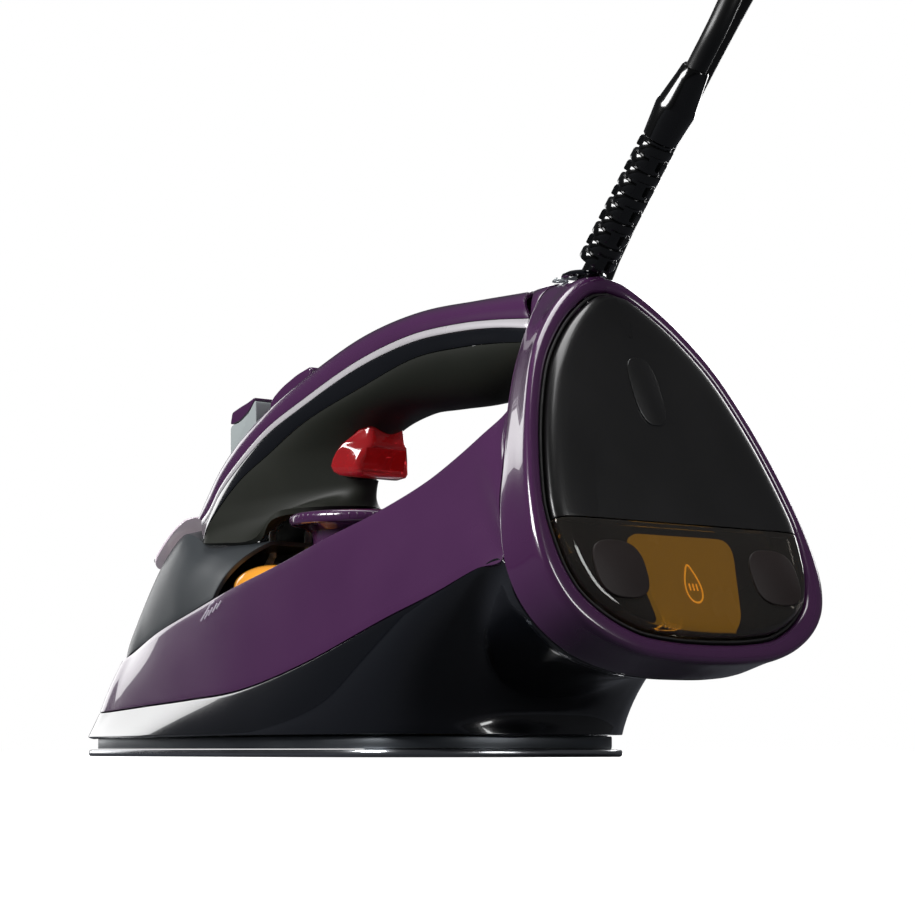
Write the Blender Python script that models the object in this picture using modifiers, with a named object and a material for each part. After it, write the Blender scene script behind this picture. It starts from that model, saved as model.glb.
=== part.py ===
"""Steam iron with a hooped handle, a leaning heel that it can stand on and a mains cord.

The nose points along -X, the heel along +X, +Z is up and Y = 0 is the plane of symmetry. The origin is on
the floor under the middle of the iron. Sizes here are millimetres; the meshes are in metres.
"""

import math

import bmesh
import bpy
from mathutils import Matrix, Vector

MM = 0.001

# Overall sizes, and the sizes that the design points below are written for
LENGTH = 328.0
WIDTH = 128.0
HEIGHT = 155.0
DRAWN = (328.0, 128.0, 155.0)

# Walls and clearances
WALL = 1.7
SEAM = 0.7
GAP = 0.4

# Soleplate and heater
SOLE_THICKNESS = 2.5
SOLE_NOSE = 164.0
SOLE_HEEL = 92.0
SOLE_WIDEST = 45.0
SOLE_HALF = 57.0
STEAM_HOLE = 1.5
HEATER_INSET = 3.5
HEATER_TOP = 6.9
CHAMBER_INSET = 27.0
CHAMBER_TOP = 15.0
ELEMENT_INSET = 14.0
ELEMENT_RADIUS = 2.8
SCREW_RADIUS = 2.2

# Temperature dial and thermostat
DIAL_RADIUS = 27.0
DIAL_TOP = 84.3
BRIM_THICKNESS = 4.6
HUB_RADIUS = 19.0
HUB_HEIGHT = 14.5
SPINDLE_RADIUS = 3.0
SLEEVE_WALL = 1.2

# Heel: a plane that leans forward, and the collar round it
HEEL_LEAN = math.radians(20.85)
HEEL_X = 162.0
HEEL_Z = 35.0
COLLAR_DEPTH = 18.0
COLLAR_DRAWN = 18.0
COLLAR_LIP = 5.5
DRAWER_LINE = 38.5
FOOT_STAND = 1.6

# Buttons, trigger, filling door
KNOB_HALF = 7.5
BOOST_HALF = 6.5
BUTTON_GAP = 0.7
TRIGGER_HALF = 9.0
TRIGGER_PIN = 1.5
PUMP_RADIUS = 5.5
PUMP_LENGTH = 12.0
PORT_RADIUS = 7.0
DOOR_HALF = 10.0
DOOR_PIN = 0.8

# Cord
CORD_RADIUS = 3.5
COIL_MID_RADIUS = 40.0
COIL_ROWS = 3
COIL_TURNS = 3
COIL_CENTRE = (-55.0, 112.0)
CORD_ROUTE = (
    (157.6, 0, 215.7), (166.4, 0, 226.9), (172.4, 5, 243), (170, 23, 262), (155, 40, 262.5),
    (137, 46, 251.4), (105, 45, 210), (69, 41, 150), (50, 58, 105), (32, 76, 60), (18, 80, 28),
    (2, 72, 8), (-12, 66.5, 3.5), (-29, 65, 3.5),
)
PLUG_CENTRE = (-77.0, 72.0)
PLUG_RADIUS = 17.0

# Cord guard
GUARD_RIBS = 9
RIB_PITCH = 5.1
RIB_WIDTH = 3.4
RIBS_START = 5.6
RIB_RADIUS = 6.15
GUARD_CORE = 4.75

for leftover in list(bpy.data.objects):
    bpy.data.objects.remove(leftover, do_unlink=True)

iron = bpy.data.collections.new("steam_iron")
cutters = bpy.data.collections.new("cutters")
bpy.context.scene.collection.children.link(iron)
bpy.context.scene.collection.children.link(cutters)


def linear(channel):
    return channel / 12.92 if channel <= 0.04045 else ((channel + 0.055) / 1.055) ** 2.4


def finish(name, colour, roughness, metallic=0.0, transmission=0.0):
    """A Principled material from an sRGB hex colour."""
    made = bpy.data.materials.new(name)
    made.use_nodes = True
    shader = made.node_tree.nodes["Principled BSDF"]
    rgb = [linear(int(colour[i : i + 2], 16) / 255) for i in (0, 2, 4)]
    shader.inputs["Base Color"].default_value = (*rgb, 1)
    shader.inputs["Roughness"].default_value = roughness
    shader.inputs["Metallic"].default_value = metallic
    shader.inputs["Transmission Weight"].default_value = transmission
    return made


purple = finish("purple_gloss", "4A2A50", 0.12)
black_gloss = finish("black_gloss", "0B0D14", 0.1)
olive = finish("soft_grip", "343832", 0.55)
silver_trim = finish("silver_trim", "D8D2D6", 0.25)
steel = finish("polished_steel", "C8C8CC", 0.2, metallic=1.0)
cast = finish("cast_aluminium", "8C9094", 0.4, metallic=1.0)
smoked = finish("smoked_plastic", "1C1A18", 0.08, transmission=0.5)
charcoal = finish("charcoal_plastic", "1E1E1E", 0.3)
amber = finish("amber_plastic", "B57A14", 0.2, transmission=0.6)
lilac = finish("lilac_clear", "C8B8CC", 0.15, transmission=0.6)
red_clear = finish("red_clear", "B02020", 0.12, transmission=0.4)
rubber = finish("black_rubber", "141210", 0.7)
pale_grey = finish("pale_grey", "BFC6C6", 0.3)
white_nylon = finish("white_nylon", "D9D6CC", 0.5)
brass = finish("brass", "B08A3C", 0.3, metallic=1.0)
board = finish("circuit_board", "1F5A32", 0.5)

# ---- helpers


def at(x, y, z):
    """A design point, stretched to the overall sizes."""
    return Vector((x * LENGTH / DRAWN[0], y * WIDTH / DRAWN[1], z * HEIGHT / DRAWN[2]))


def design(*rows):
    return [at(*row) for row in rows]


def mirrored(point):
    return Vector((point.x, -point.y, point.z))


def guide(points, t, crosses=True):
    """The smooth curve through points at station t. crosses: it meets Y = 0 squarely at both ends."""
    last = len(points) - 1
    k = min(int(t), last - 1)
    start = mirrored(points[1]) if crosses else points[0] * 2 - points[1]
    end = mirrored(points[-2]) if crosses else points[-1] * 2 - points[-2]
    p0 = points[k - 1] if k else start
    p3 = points[k + 2] if k < last - 1 else end
    p1, p2 = points[k], points[k + 1]
    knots = [0.0]
    for one, two in ((p0, p1), (p1, p2), (p2, p3)):
        knots.append(knots[-1] + max((two - one).length, 1e-6) ** 0.5)
    k0, k1, k2, k3 = knots
    place = k1 + (t - k) * (k2 - k1)

    def between(a, b, low, high):
        return a.lerp(b, (place - low) / (high - low))

    a1, a2, a3 = between(p0, p1, k0, k1), between(p1, p2, k1, k2), between(p2, p3, k2, k3)
    return between(between(a1, a2, k0, k2), between(a2, a3, k1, k3), k1, k2)


def stations(points, steps, crosses=True):
    """The guide curve sampled steps times between each two of its points."""
    count = (len(points) - 1) * steps
    return [guide(points, i / steps, crosses) for i in range(count + 1)]


def bezier(a, b, c, v):
    return a.lerp(b, v).lerp(b.lerp(c, v), v)


def shy(edge, inner):
    """A seam's edge point moved back towards inner, further where the two shells meet at a sharper angle."""
    sharper = min(max((edge.x - 60) / 60, 0.0), 1.2)
    thicker = max(WALL - 1.7, 0.0) * 2
    return edge + (inner - edge).normalized() * (SEAM + sharper * WALL + thicker)


def whole_loop(half_rows):
    """Rows from the nose to the heel on the +Y side, continued round the -Y side to close the loop."""
    first, last = half_rows[0], half_rows[-1]
    for point in [*first, *last]:
        point.y = 0.0
    return half_rows + [[mirrored(p) for p in row] for row in reversed(half_rows[1:-1])]


def across(half_row):
    """A row from +Y to Y = 0, continued to -Y."""
    half_row[-1].y = 0.0
    return half_row + [mirrored(p) for p in reversed(half_row[:-1])]


def add(name, mesh, colour, group=None):
    made = bpy.data.objects.new(name, mesh)
    (group or iron).objects.link(made)
    if colour:
        mesh.materials.append(colour)
    return made


def mesh_of(name, points, faces):
    mesh = bpy.data.meshes.new(name)
    mesh.from_pydata([p * MM for p in points], [], faces)
    return mesh


def grid(rows, wrap_rows=False, wrap_columns=False):
    """Points and quads of a net of rows."""
    wide = len(rows[0])
    points = [p for row in rows for p in row]
    faces = []
    for i in range(len(rows) if wrap_rows else len(rows) - 1):
        for j in range(wide if wrap_columns else wide - 1):
            a, b = i * wide, (i + 1) % len(rows) * wide
            k = (j + 1) % wide
            faces.append((a + j, a + k, b + k, b + j))
    return points, faces


def face_out(mesh, outward):
    """Turns an open net so that its faces look along outward(point) on the whole."""
    mesh.update()
    score = sum(face.normal.dot(outward(face.center / MM)) * face.area for face in mesh.polygons)
    if score < 0:
        mesh.flip_normals()


def from_middle(point):
    """Away from a line through the middle of the body."""
    return Vector((point.x * 0.25, point.y, (point.z - 45) * 0.3)).normalized()


def upward(_):
    return Vector((0, 0, 1))


def shell(name, rows, colour, outward, wall=WALL, wrap_rows=False):
    """An open skin with its wall inside it."""
    mesh = mesh_of(name, *grid(rows, wrap_rows))
    face_out(mesh, outward)
    mesh.shade_smooth()
    made = add(name, mesh, colour)
    skin = made.modifiers.new("wall", "SOLIDIFY")
    skin.thickness = wall * MM
    skin.offset = -1
    skin.use_even_offset = False
    return made


def solid(name, rings, colour, group=None, smooth=False):
    """A closed body through rings of equal length, with flat ends."""
    points, faces = grid(rings, wrap_columns=True)
    wide = len(rings[0])
    faces += [tuple(range(wide)), tuple(range((len(rings) - 1) * wide, len(rings) * wide))]
    mesh = mesh_of(name, points, faces)
    face_true(mesh)
    if smooth:
        mesh.shade_smooth()
        mesh.set_sharp_from_angle(angle=math.radians(40))
    return add(name, mesh, colour, group)


def face_true(mesh):
    work = bmesh.new()
    work.from_mesh(mesh)
    bmesh.ops.remove_doubles(work, verts=work.verts, dist=1e-6)
    bmesh.ops.recalc_face_normals(work, faces=work.faces)
    work.to_mesh(mesh)
    work.free()


def ring_solid(name, rings, colour):
    """A closed body swept round: each ring is one section, and the last joins the first."""
    mesh = mesh_of(name, *grid(rings, wrap_rows=True, wrap_columns=True))
    face_true(mesh)
    mesh.shade_smooth()
    mesh.set_sharp_from_angle(angle=math.radians(40))
    return add(name, mesh, colour)


def turned(name, profile, colour, place, direction=(0, 0, 1), steps=24, group=None):
    """A turned solid. profile lists (radius, height) down its outer side, from the axis to the axis."""
    mesh = bpy.data.meshes.new(name)
    points = [(r * MM, 0, h * MM) for r, h in profile]
    closed = profile[0][0] > 0
    edges = [(i, i + 1) for i in range(len(points) - 1)] + ([(len(points) - 1, 0)] if closed else [])
    mesh.from_pydata(points, edges, [])
    made = add(name, mesh, colour, group)
    screw = made.modifiers.new("turn", "SCREW")
    screw.steps = screw.render_steps = steps
    screw.use_merge_vertices = True
    screw.merge_threshold = 0.00002
    screw.use_smooth_shade = True
    made.location = place * MM
    made.rotation_mode = "QUATERNION"
    made.rotation_quaternion = Vector((0, 0, 1)).rotation_difference(Vector(direction))
    return made


def rod(name, radius, length, colour, place, direction=(0, 0, 1), steps=16, group=None):
    profile = [(0, length / 2), (radius, length / 2), (radius, -length / 2), (0, -length / 2)]
    return turned(name, profile, colour, place, direction, steps, group)


def pipe(name, outer, inner, length, colour, place, direction=(0, 0, 1), steps=20):
    half = length / 2
    return turned(
        name, [(inner, half), (outer, half), (outer, -half), (inner, -half)], colour, place, direction, steps
    )


def wire(name, points, radius, colour, resolution=2):
    """A round bar or hose with flat ends along the points."""
    curve = bpy.data.curves.new(name, "CURVE")
    curve.dimensions = "3D"
    curve.bevel_depth = radius * MM
    curve.bevel_resolution = resolution
    curve.use_fill_caps = True
    spline = curve.splines.new("POLY")
    spline.points.add(len(points) - 1)
    for node, point in zip(spline.points, points):
        node.co = (*(point * MM), 1)
    made = bpy.data.objects.new(name, curve)
    iron.objects.link(made)
    curve.materials.append(colour)
    return made


def frame_at(origin, run):
    """A frame with its X along run in the XZ plane, its Y along +Y and its Z up out of it."""
    x = Vector((run[0], 0, run[1])).normalized()
    z = Vector((-x.z, 0, x.x))
    axes = Matrix((x, Vector((0, 1, 0)), z)).transposed().to_4x4()
    return Matrix.Translation(origin) @ axes


def block(name, size, colour, frame, bevel=0.0, group=None):
    """A box of the given size, centred on frame."""
    mesh = bpy.data.meshes.new(name)
    work = bmesh.new()
    bmesh.ops.create_cube(work, size=1.0)
    bmesh.ops.scale(work, vec=Vector(size) * MM, verts=work.verts)
    work.to_mesh(mesh)
    work.free()
    made = add(name, mesh, colour, group)
    placed = frame.copy()
    placed.translation = placed.translation * MM
    made.matrix_world = placed
    if bevel:
        edge = made.modifiers.new("edge", "BEVEL")
        edge.width = bevel * MM
        edge.segments = 2
    return made


def plate(name, outlines, thickness, colour, frame):
    """A flat plate: the first outline is its edge and the others are holes, as (x, y) in frame."""
    curve = bpy.data.curves.new(name, "CURVE")
    curve.dimensions = "2D"
    curve.fill_mode = "BOTH"
    curve.extrude = thickness / 2 * MM
    for outline in outlines:
        spline = curve.splines.new("POLY")
        spline.points.add(len(outline) - 1)
        spline.use_cyclic_u = True
        for node, (x, y) in zip(spline.points, outline):
            node.co = (x * MM, y * MM, 0, 1)
    made = bpy.data.objects.new(name, curve)
    iron.objects.link(made)
    curve.materials.append(colour)
    placed = frame.copy()
    placed.translation = placed.translation * MM
    made.matrix_world = placed
    return made


def prism(name, outline, half, colour, group=None, bevel=0.0):
    """A side-view outline of (x, z) design points, drawn out to both sides."""
    rings = []
    for side in (-half, half):
        rings.append([Vector((at(x, 0, z).x, side, at(x, 0, z).z)) for x, z in outline])
    made = solid(name, rings, colour, group)
    if bevel:
        edge = made.modifiers.new("edge", "BEVEL")
        edge.width = bevel * MM
        edge.segments = 2
    return made


def cut(made, *tools):
    for tool in tools:
        tool.hide_render = True
        tool.display_type = "WIRE"
        hole = made.modifiers.new("cut_" + tool.name, "BOOLEAN")
        hole.operation = "DIFFERENCE"
        hole.object = tool


def circle(x, y, radius, count=10):
    turn = 2 * math.pi / count
    return [(x + radius * math.cos(i * turn), y + radius * math.sin(i * turn)) for i in range(count)]


def level(z):
    return Matrix.Translation(Vector((0, 0, z)))


# ---- soleplate, heater and steam chamber


def sole_half_width(x):
    """Half the soleplate's width at x: a pointed nose, full sides and a rounded heel."""
    if x < SOLE_WIDEST:
        share = (SOLE_WIDEST - x) / (SOLE_WIDEST + SOLE_NOSE)
        return SOLE_HALF * (1 - min(share, 1) ** 1.45) ** 0.78
    share = (x - SOLE_WIDEST) / (SOLE_HEEL - SOLE_WIDEST)
    return SOLE_HALF * (1 - min(share, 1) ** 3.2) ** 0.5


def sole_outline(inset=0.0, steps=16):
    """The soleplate's outline, moved in by inset."""
    half = []
    for i in range(steps + 1):
        x = -SOLE_NOSE + (SOLE_WIDEST + SOLE_NOSE) * (i / steps) ** 1.7
        half.append(Vector((x, sole_half_width(x))))
    for i in range(1, steps // 2 + 1):
        x = SOLE_WIDEST + (SOLE_HEEL - SOLE_WIDEST) * math.sin(i / (steps // 2) * math.pi / 2)
        half.append(Vector((x, sole_half_width(x))))
    moved = []
    for i in range(1, len(half) - 1):
        run = (half[i + 1] - half[i - 1]).normalized()
        moved.append(half[i] + Vector((run.y, -run.x)) * inset)
    stretch_x, stretch_y = LENGTH / DRAWN[0], WIDTH / DRAWN[1]
    nose = -SOLE_NOSE + inset * 1.3
    heel = SOLE_HEEL - inset
    moved = [p for p in moved if p.y > 0.8 and nose < p.x < heel]
    upper = [(nose, 0.0)] + [(p.x, p.y) for p in moved] + [(heel, 0.0)]
    lower = [(x, -y) for x, y in reversed(upper[1:-1])]
    return [(x * stretch_x, y * stretch_y) for x, y in upper + lower]


def steam_holes():
    """Two rows of holes along each edge of the soleplate and a cluster behind the nose."""
    holes = []
    for i in range(9):
        x = -118 + i * 19.0
        for inset in (10.0, 17.0):
            y = sole_half_width(x) - inset
            if y > 5 and (inset < 12 or i % 2):
                holes += [(x, y), (x, -y)]
    holes += [(-132.0, 0.0), (-120.0, 0.0), (-108.0, 0.0)]
    return [(x * LENGTH / DRAWN[0], y * WIDTH / DRAWN[1]) for x, y in holes]


holes = [circle(x, y, STEAM_HOLE, 8) for x, y in steam_holes()]
plate("soleplate", [sole_outline()] + holes, SOLE_THICKNESS, steel, level(SOLE_THICKNESS / 2))

heater_foot = SOLE_THICKNESS + 0.35
plate(
    "heater_body",
    [sole_outline(HEATER_INSET)],
    HEATER_TOP - heater_foot,
    cast,
    level((HEATER_TOP + heater_foot) / 2),
)

chamber_foot = HEATER_TOP + GAP
plate(
    "steam_chamber_cover",
    [sole_outline(CHAMBER_INSET, 10)],
    CHAMBER_TOP - chamber_foot,
    cast,
    level((CHAMBER_TOP + chamber_foot) / 2),
)

element_z = HEATER_TOP + GAP + ELEMENT_RADIUS
element = [Vector((x, y, element_z)) for x, y in sole_outline(ELEMENT_INSET, 10)]
tail = SOLE_HEEL * LENGTH / DRAWN[0] - 26
element = [p for p in element if p.x < tail]
right = [p for p in element if p.y > 0.5]
left = [p for p in element if p.y < -0.5]
nose_point = [p for p in element if abs(p.y) <= 0.5]
loop = list(reversed(right)) + nose_point + list(reversed(left))
rise = Vector((4, 0, 10))
loop = [loop[0] + rise] + loop + [loop[-1] + rise]
wire("heating_element", loop, ELEMENT_RADIUS, cast, 1)

# ---- outer shells

foot_ring = design(
    (-162.5, 0, 7.3), (-158.5, 5, 7.3), (-142, 13, 7.3), (-100, 29, 7.3), (-58, 41, 7.3), (-12, 51, 7.3),
    (30, 56.5, 7.3), (58, 56, 7.3), (74, 50.5, 7.3), (83, 40, 7.3), (87.5, 31, 7.3), (89.5, 25, 7.3),
    (90.7, 19.5, 7.3), (91.5, 14, 7.3), (91.9, 9, 7.3), (92, 4.5, 7.3), (92, 0, 7.3),
)
waist = design(
    (-159, 0, 12), (-155, 4.8, 12), (-139, 12, 12), (-98, 26.5, 12), (-57, 39, 13), (-11.5, 50, 14),
    (32, 57, 18), (64, 58, 24), (82, 56, 29), (91, 50, 31), (95, 42, 30), (97, 35, 28), (98, 28, 26),
    (98.5, 20, 24), (99, 13, 23), (99, 6, 22.5), (99, 0, 22.5),
)
band_low = design(
    (-155.6, 0, 16.5), (-151.5, 4.6, 16.6), (-135, 10.8, 17), (-96, 23, 18.5), (-56, 35, 20),
    (-10.6, 47, 22.7), (34, 55, 31), (76.5, 59, 43.4), (102.7, 60.6, 50.7), (122, 61.3, 57),
)
band_high = design(
    (-141, 0, 34.5), (-136.5, 5.5, 35.6), (-122, 10.5, 38.8), (-96, 19, 45.2), (-62, 28, 52),
    (-28, 36.5, 58.7), (6, 43, 65.3), (32, 46.8, 71.5), (60, 47.8, 78.8), (82, 46.2, 87.2),
    (96, 45, 94.6), (105, 42.5, 101.3), (108, 37, 107), (107.5, 31, 113), (105.8, 26, 119.5),
    (103.2, 21.5, 130.5), (100.2, 17.5, 139), (94.5, 11, 148.8), (87, 0, 153.3),
)
# a deeper collar moves the column's top and the handle's rear ends forward
collar_growth = COLLAR_DEPTH - COLLAR_DRAWN
for point, share in zip(band_high[-4:], (0.3, 0.7, 1.0, 1.0)):
    point.x -= collar_growth * share
collar_front = [
    (-4.9, 0), (-4.5, 15), (-2.5, 30), (3, 45), (11.5, 55), (21, 60), (33, 61.2), (50, 57), (66, 50),
    (84, 42), (100, 33.5), (114, 24), (124, 16), (131, 8.5), (134.7, 0),
]
collar_back = [
    (-6.5, 0), (-6, 16), (-3.8, 33), (2.5, 48), (11, 58), (21, 62.6), (32, 63.4), (46, 61.5), (65, 56.5),
    (82, 50), (98, 41.5), (112, 29.5), (121, 18.5), (126.5, 9), (128.4, 0),
]
corner = 6


def heel_point(along, y, depth):
    """A point along up the heel from its foot, y to the side and depth forward of the heel's face."""
    return at(
        HEEL_X - along * math.sin(HEEL_LEAN) - depth * math.cos(HEEL_LEAN),
        y,
        HEEL_Z + along * math.cos(HEEL_LEAN) - depth * math.sin(HEEL_LEAN),
    )


def seam_line(depth):
    return [heel_point(s, y, depth) for s, y in collar_front]


seam = seam_line(COLLAR_DEPTH + SEAM)

top_ring = band_low + list(reversed(seam[: corner + 1]))
rows = []
for low, mid, high in zip(stations(foot_ring, 2), stations(waist, 2), stations(top_ring, 2)):
    high = shy(high, mid)
    rows.append([bezier(low, mid * 2 - (low + high) / 2, high, v / 5) for v in range(6)])
lower_housing = shell("lower_housing", whole_loop(rows), black_gloss, from_middle, wrap_rows=True)

low_line = band_low + seam[corner:]
rows = []
for low, high in zip(stations(low_line, 2), stations(band_high, 2)):
    mid = (low + high) / 2
    bulge = Vector((0, mid.y, 0)).normalized() * 1.2 if mid.y > 1 else Vector((0, 0, 0))
    low = shy(low, high)
    rows.append([bezier(low, mid + bulge, high, v / 4) for v in range(5)])
side_shell = shell("side_shell", whole_loop(rows), purple, from_middle, wrap_rows=True)

# The collar is a hollow-backed ring: outer skin, rounded lip, and an inner wall
section = [
    (COLLAR_DEPTH, 0.0), (10.0, 0.3), (3.0, 0.1), (0.8, 0.6), (0.0, 2.0), (0.0, COLLAR_LIP - 0.8),
    (0.8, COLLAR_LIP), (5.5, COLLAR_LIP), (5.5, 2.4), (COLLAR_DEPTH - 3.4, 1.8), (COLLAR_DEPTH - 0.6, 0.6),
]


def outline_at(share, t):
    """The collar's (along, y) outline between its back (0) and its front edge (1)."""
    back = guide([Vector((s, y, 0)) for s, y in collar_back], t, crosses=False)
    front = guide([Vector((s, y, 0)) for s, y in collar_front], t, crosses=False)
    return back.lerp(front, share)


def heel_ring(share, depth, inset, steps=2):
    """A closed ring round the heel, moved in by inset, as points in space."""
    count = (len(collar_back) - 1) * steps
    half = [outline_at(share, i / steps) for i in range(count + 1)]
    moved = []
    for i, point in enumerate(half):
        before = half[i - 1] if i else Vector((half[1].x, -half[1].y, 0))
        after = half[i + 1] if i < count else Vector((half[-2].x, -half[-2].y, 0))
        run = (after - before).normalized()
        moved.append(point + Vector((run.y, -run.x, 0)) * inset)
    moved[0].y = moved[-1].y = 0.0
    full = moved + [Vector((p.x, -p.y, 0)) for p in reversed(moved[1:-1])]
    return [heel_point(p.x, p.y, depth) for p in full]


sections = []
for depth, inset in section:
    share = 0 if inset > COLLAR_LIP - 1 else depth / COLLAR_DEPTH
    sections.append(heel_ring(share, depth, inset))
collar = ring_solid("heel_collar", [list(column) for column in zip(*sections)], purple)

# Deck: the tank's roof behind the nose cover, and the front wall of the rear column
deck_edge = band_high[4:15]
deck_middle = design(
    (-58, 0, 50), (-28, 0, 56.5), (6, 0, 60), (32, 0, 64), (60, 0, 74), (80, 0, 84), (93, 0, 92.5),
    (100.5, 0, 100), (103, 0, 106), (102.8, 0, 112.5), (100.8, 0, 118),
)
rows = []
inset = WALL + GAP + 0.6
for edge, mid in zip(stations(deck_edge, 2, False), stations(deck_middle, 2, False)):
    rim = Vector((edge.x - (0.8 if edge.z > 95 else 0), edge.y - inset, edge.z - 1.5))
    row = []
    for share in (1.0, 0.86, 0.66, 0.42, 0.2, 0.0):
        level_share = share**3
        x = mid.x + (rim.x - mid.x) * share**2
        row.append(Vector((x, rim.y * share, mid.z + (rim.z - mid.z) * level_share)))
    rows.append(across(row))
deck = shell("tank_roof", rows, black_gloss, upward, wall=1.8)

# Nose cover: from the band's upper edge over the ridge, and back under the grip
cover_low = design(
    (-139.4, 1.5, 36.3), (-129, 7.8, 38), (-113, 13.0, 41.8), (-101, 16.8, 44.6), (-90, 20.1, 46.9),
    (-80, 23, 49), (-69, 25.6, 51.2), (-58, 28.4, 53.5), (-47, 31.3, 55.8),
)
cover_high = design(
    (-139.1, 0.8, 37.3), (-128.8, 3, 49.4), (-114, 6, 66.8), (-104, 7.5, 76), (-94.5, 8, 82),
    (-84, 10.5, 80.5), (-71, 14, 75.6), (-52, 15.5, 76), (-34, 15, 76.2),
)
cover_ridge = design(
    (-139, 0, 37.5), (-129.4, 0, 50.2), (-114.8, 0, 68.4), (-104.5, 0, 77.9), (-94.5, 0, 84),
    (-84, 0, 80.7), (-71, 0, 75.8), (-52, 0, 76), (-34, 0, 76.2),
)
rows = []
lines = [stations(line, 2, False) for line in (cover_low, cover_high, cover_ridge)]
for low, high, ridge in zip(*lines):
    side = low.y * 0.96 + high.y * 0.06
    shoulder = Vector((low.x * 0.4 + high.x * 0.6, side, low.z * 0.35 + high.z * 0.65))
    row = [bezier(low, shoulder, high, v / 5) for v in range(6)]
    rows.append(across(row + [high.lerp(ridge, 0.6), ridge]))
nose_cover = shell("nose_cover", rows, black_gloss, from_middle, wall=1.6)

# ---- handle: grip, side strips, trim and top cover share four guide lines along the hoop

cover_top = design(
    (-94, 0, 88.2), (-85, 0, 98.3), (-75, 0, 107.8), (-62, 0, 117.6), (-46, 0, 127), (-24, 0, 137),
    (6.7, 0, 148), (35, 0, 152.6), (62, 0, 153), (75, 0, 153.1), (86, 0, 153.2),
)
trim_high = design(
    (-85, 7.5, 87), (-77, 10, 90.7), (-68, 12.2, 98), (-55.7, 14, 106), (-38, 15, 116.6), (-18, 15.5, 124.8),
    (12.5, 15.5, 136), (41, 16, 142), (64.5, 16, 143.2), (82, 16, 142.6), (98, 16, 141.2),
)
strip_high = design(
    (-83.5, 8.5, 84.5), (-75.5, 11.2, 88.2), (-66.5, 13.2, 95.5), (-54.4, 14.9, 103.4), (-36.8, 15.8, 113.9),
    (-17, 16.3, 122), (13.5, 16.3, 133.1), (42, 16.6, 139.1), (65, 16.7, 140.2), (83, 16.8, 139.5),
    (99, 17.2, 137.6),
)
grip_high = design(
    (-74.5, 14.5, 78.5), (-71, 16, 82.5), (-62.5, 16.5, 90.3), (-50, 17, 99), (-35, 17, 106.5),
    (-14, 17.2, 116.6), (16.6, 17.5, 126), (45, 17.9, 133.5), (67, 18, 134.7), (85, 18.4, 134.2),
    (101.5, 20.6, 132.6),
)
grip_low = design(
    (1, 0, 86.2), (2.5, 0, 89.5), (4.5, 0, 94), (8, 0, 100), (14, 0, 105.8), (22, 0, 111.6), (34, 0, 116.6),
    (49, 0, 116.8), (66, 0, 117.3), (82, 0, 119.4), (98.2, 0, 122.6),
)
for line in (cover_top, trim_high, strip_high, grip_high, grip_low):
    for point, share in zip(line[-3:], (0.3, 0.7, 1.0)):
        point.x -= collar_growth * share
roundness = 2.7


def corner_arc(high, low, share):
    """A rounded quarter of a section, from the side at high down to the keel at low."""
    angle = share * math.pi / 2
    down = math.sin(angle) ** (2 / roundness)
    out = math.cos(angle) ** (2 / roundness) if share < 1 else 0.0
    return Vector((high.x + (low.x - high.x) * down, high.y * out, high.z + (low.z - high.z) * down))


neck_rim = -2.0 - DIAL_RADIUS
neck_edge = design(
    (-74.5, 14.5, 78.3), (-60, 17.6, 78), (neck_rim - 11, 18.4, 79.4), (neck_rim, 18.4, 85.4),
    (-13, 17.4, 86.6), (1, 0, 87.2),
)


def bottom_edge(t):
    """The grip's lower edge under the neck, where it passes over the dial."""
    return guide(neck_edge, t)


shares = (0.0, 0.16, 0.32, 0.48, 0.62, 0.76, 0.88, 1.0)
rows = []
for k, (high, low) in enumerate(zip(stations(grip_high, 2, False), stations(grip_low, 2, False))):
    flare = max(1 - k / 4, 0.0) ** 2
    row = []
    for share in shares:
        foot = bottom_edge(share * (len(neck_edge) - 1)) + Vector((0, 0, 2.5 * k))
        row.append(corner_arc(high, low, max(share, 0.02)).lerp(foot, flare))
    rows.append(across(row))
grip = shell("handle_grip", rows, olive, from_middle, wall=2.2)

# Gloss strips, silver trim and top cover, laid on the grip one above the other


def ribbon(name, high_line, low_line, side, colour, wall):
    """A band along one side of the handle, between two guide lines."""
    rows = []
    for high, low in zip(stations(high_line, 2, False), stations(low_line, 2, False)):
        middle = (high + low) / 2 + Vector((0, 0.25, 0))
        row = [high.lerp(low, 0.07), middle, high.lerp(low, 0.88)]
        row = [Vector((p.x, p.y * side, p.z)) for p in row]
        rows.append(row)
    return shell(name, rows[1:], colour, lambda p: Vector((0, side, 0)), wall)


for side, hand in ((1, "left"), (-1, "right")):
    ribbon("handle_strip_" + hand, strip_high, grip_high, side, black_gloss, 1.6)
    ribbon("handle_trim_" + hand, trim_high, strip_high, side, silver_trim, 1.4)

rows = []
for low, high in zip(stations(trim_high, 2, False), stations(cover_top, 2, False)):
    low = low.lerp(high, 0.05)
    shoulder = Vector(((low.x + high.x) / 2, low.y, low.z * 0.15 + high.z * 0.85))
    crown = Vector((high.x, 0, high.z))
    rows.append(across([bezier(low, shoulder, crown, v / 5) for v in range(6)]))
top_cover = shell("handle_top_cover", rows, purple, upward, wall=1.8)


def top_frame(x):
    """The frame on the handle's crown at x, its X running back along the crown."""
    line = cover_top
    x = at(x, 0, 0).x
    k = max(i for i in range(len(line) - 1) if line[i].x <= x)
    share = (x - line[k].x) / (line[k + 1].x - line[k].x)
    run = line[k + 1] - line[k]
    return frame_at(line[k].lerp(line[k + 1], share), (run.x, run.z))


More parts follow.
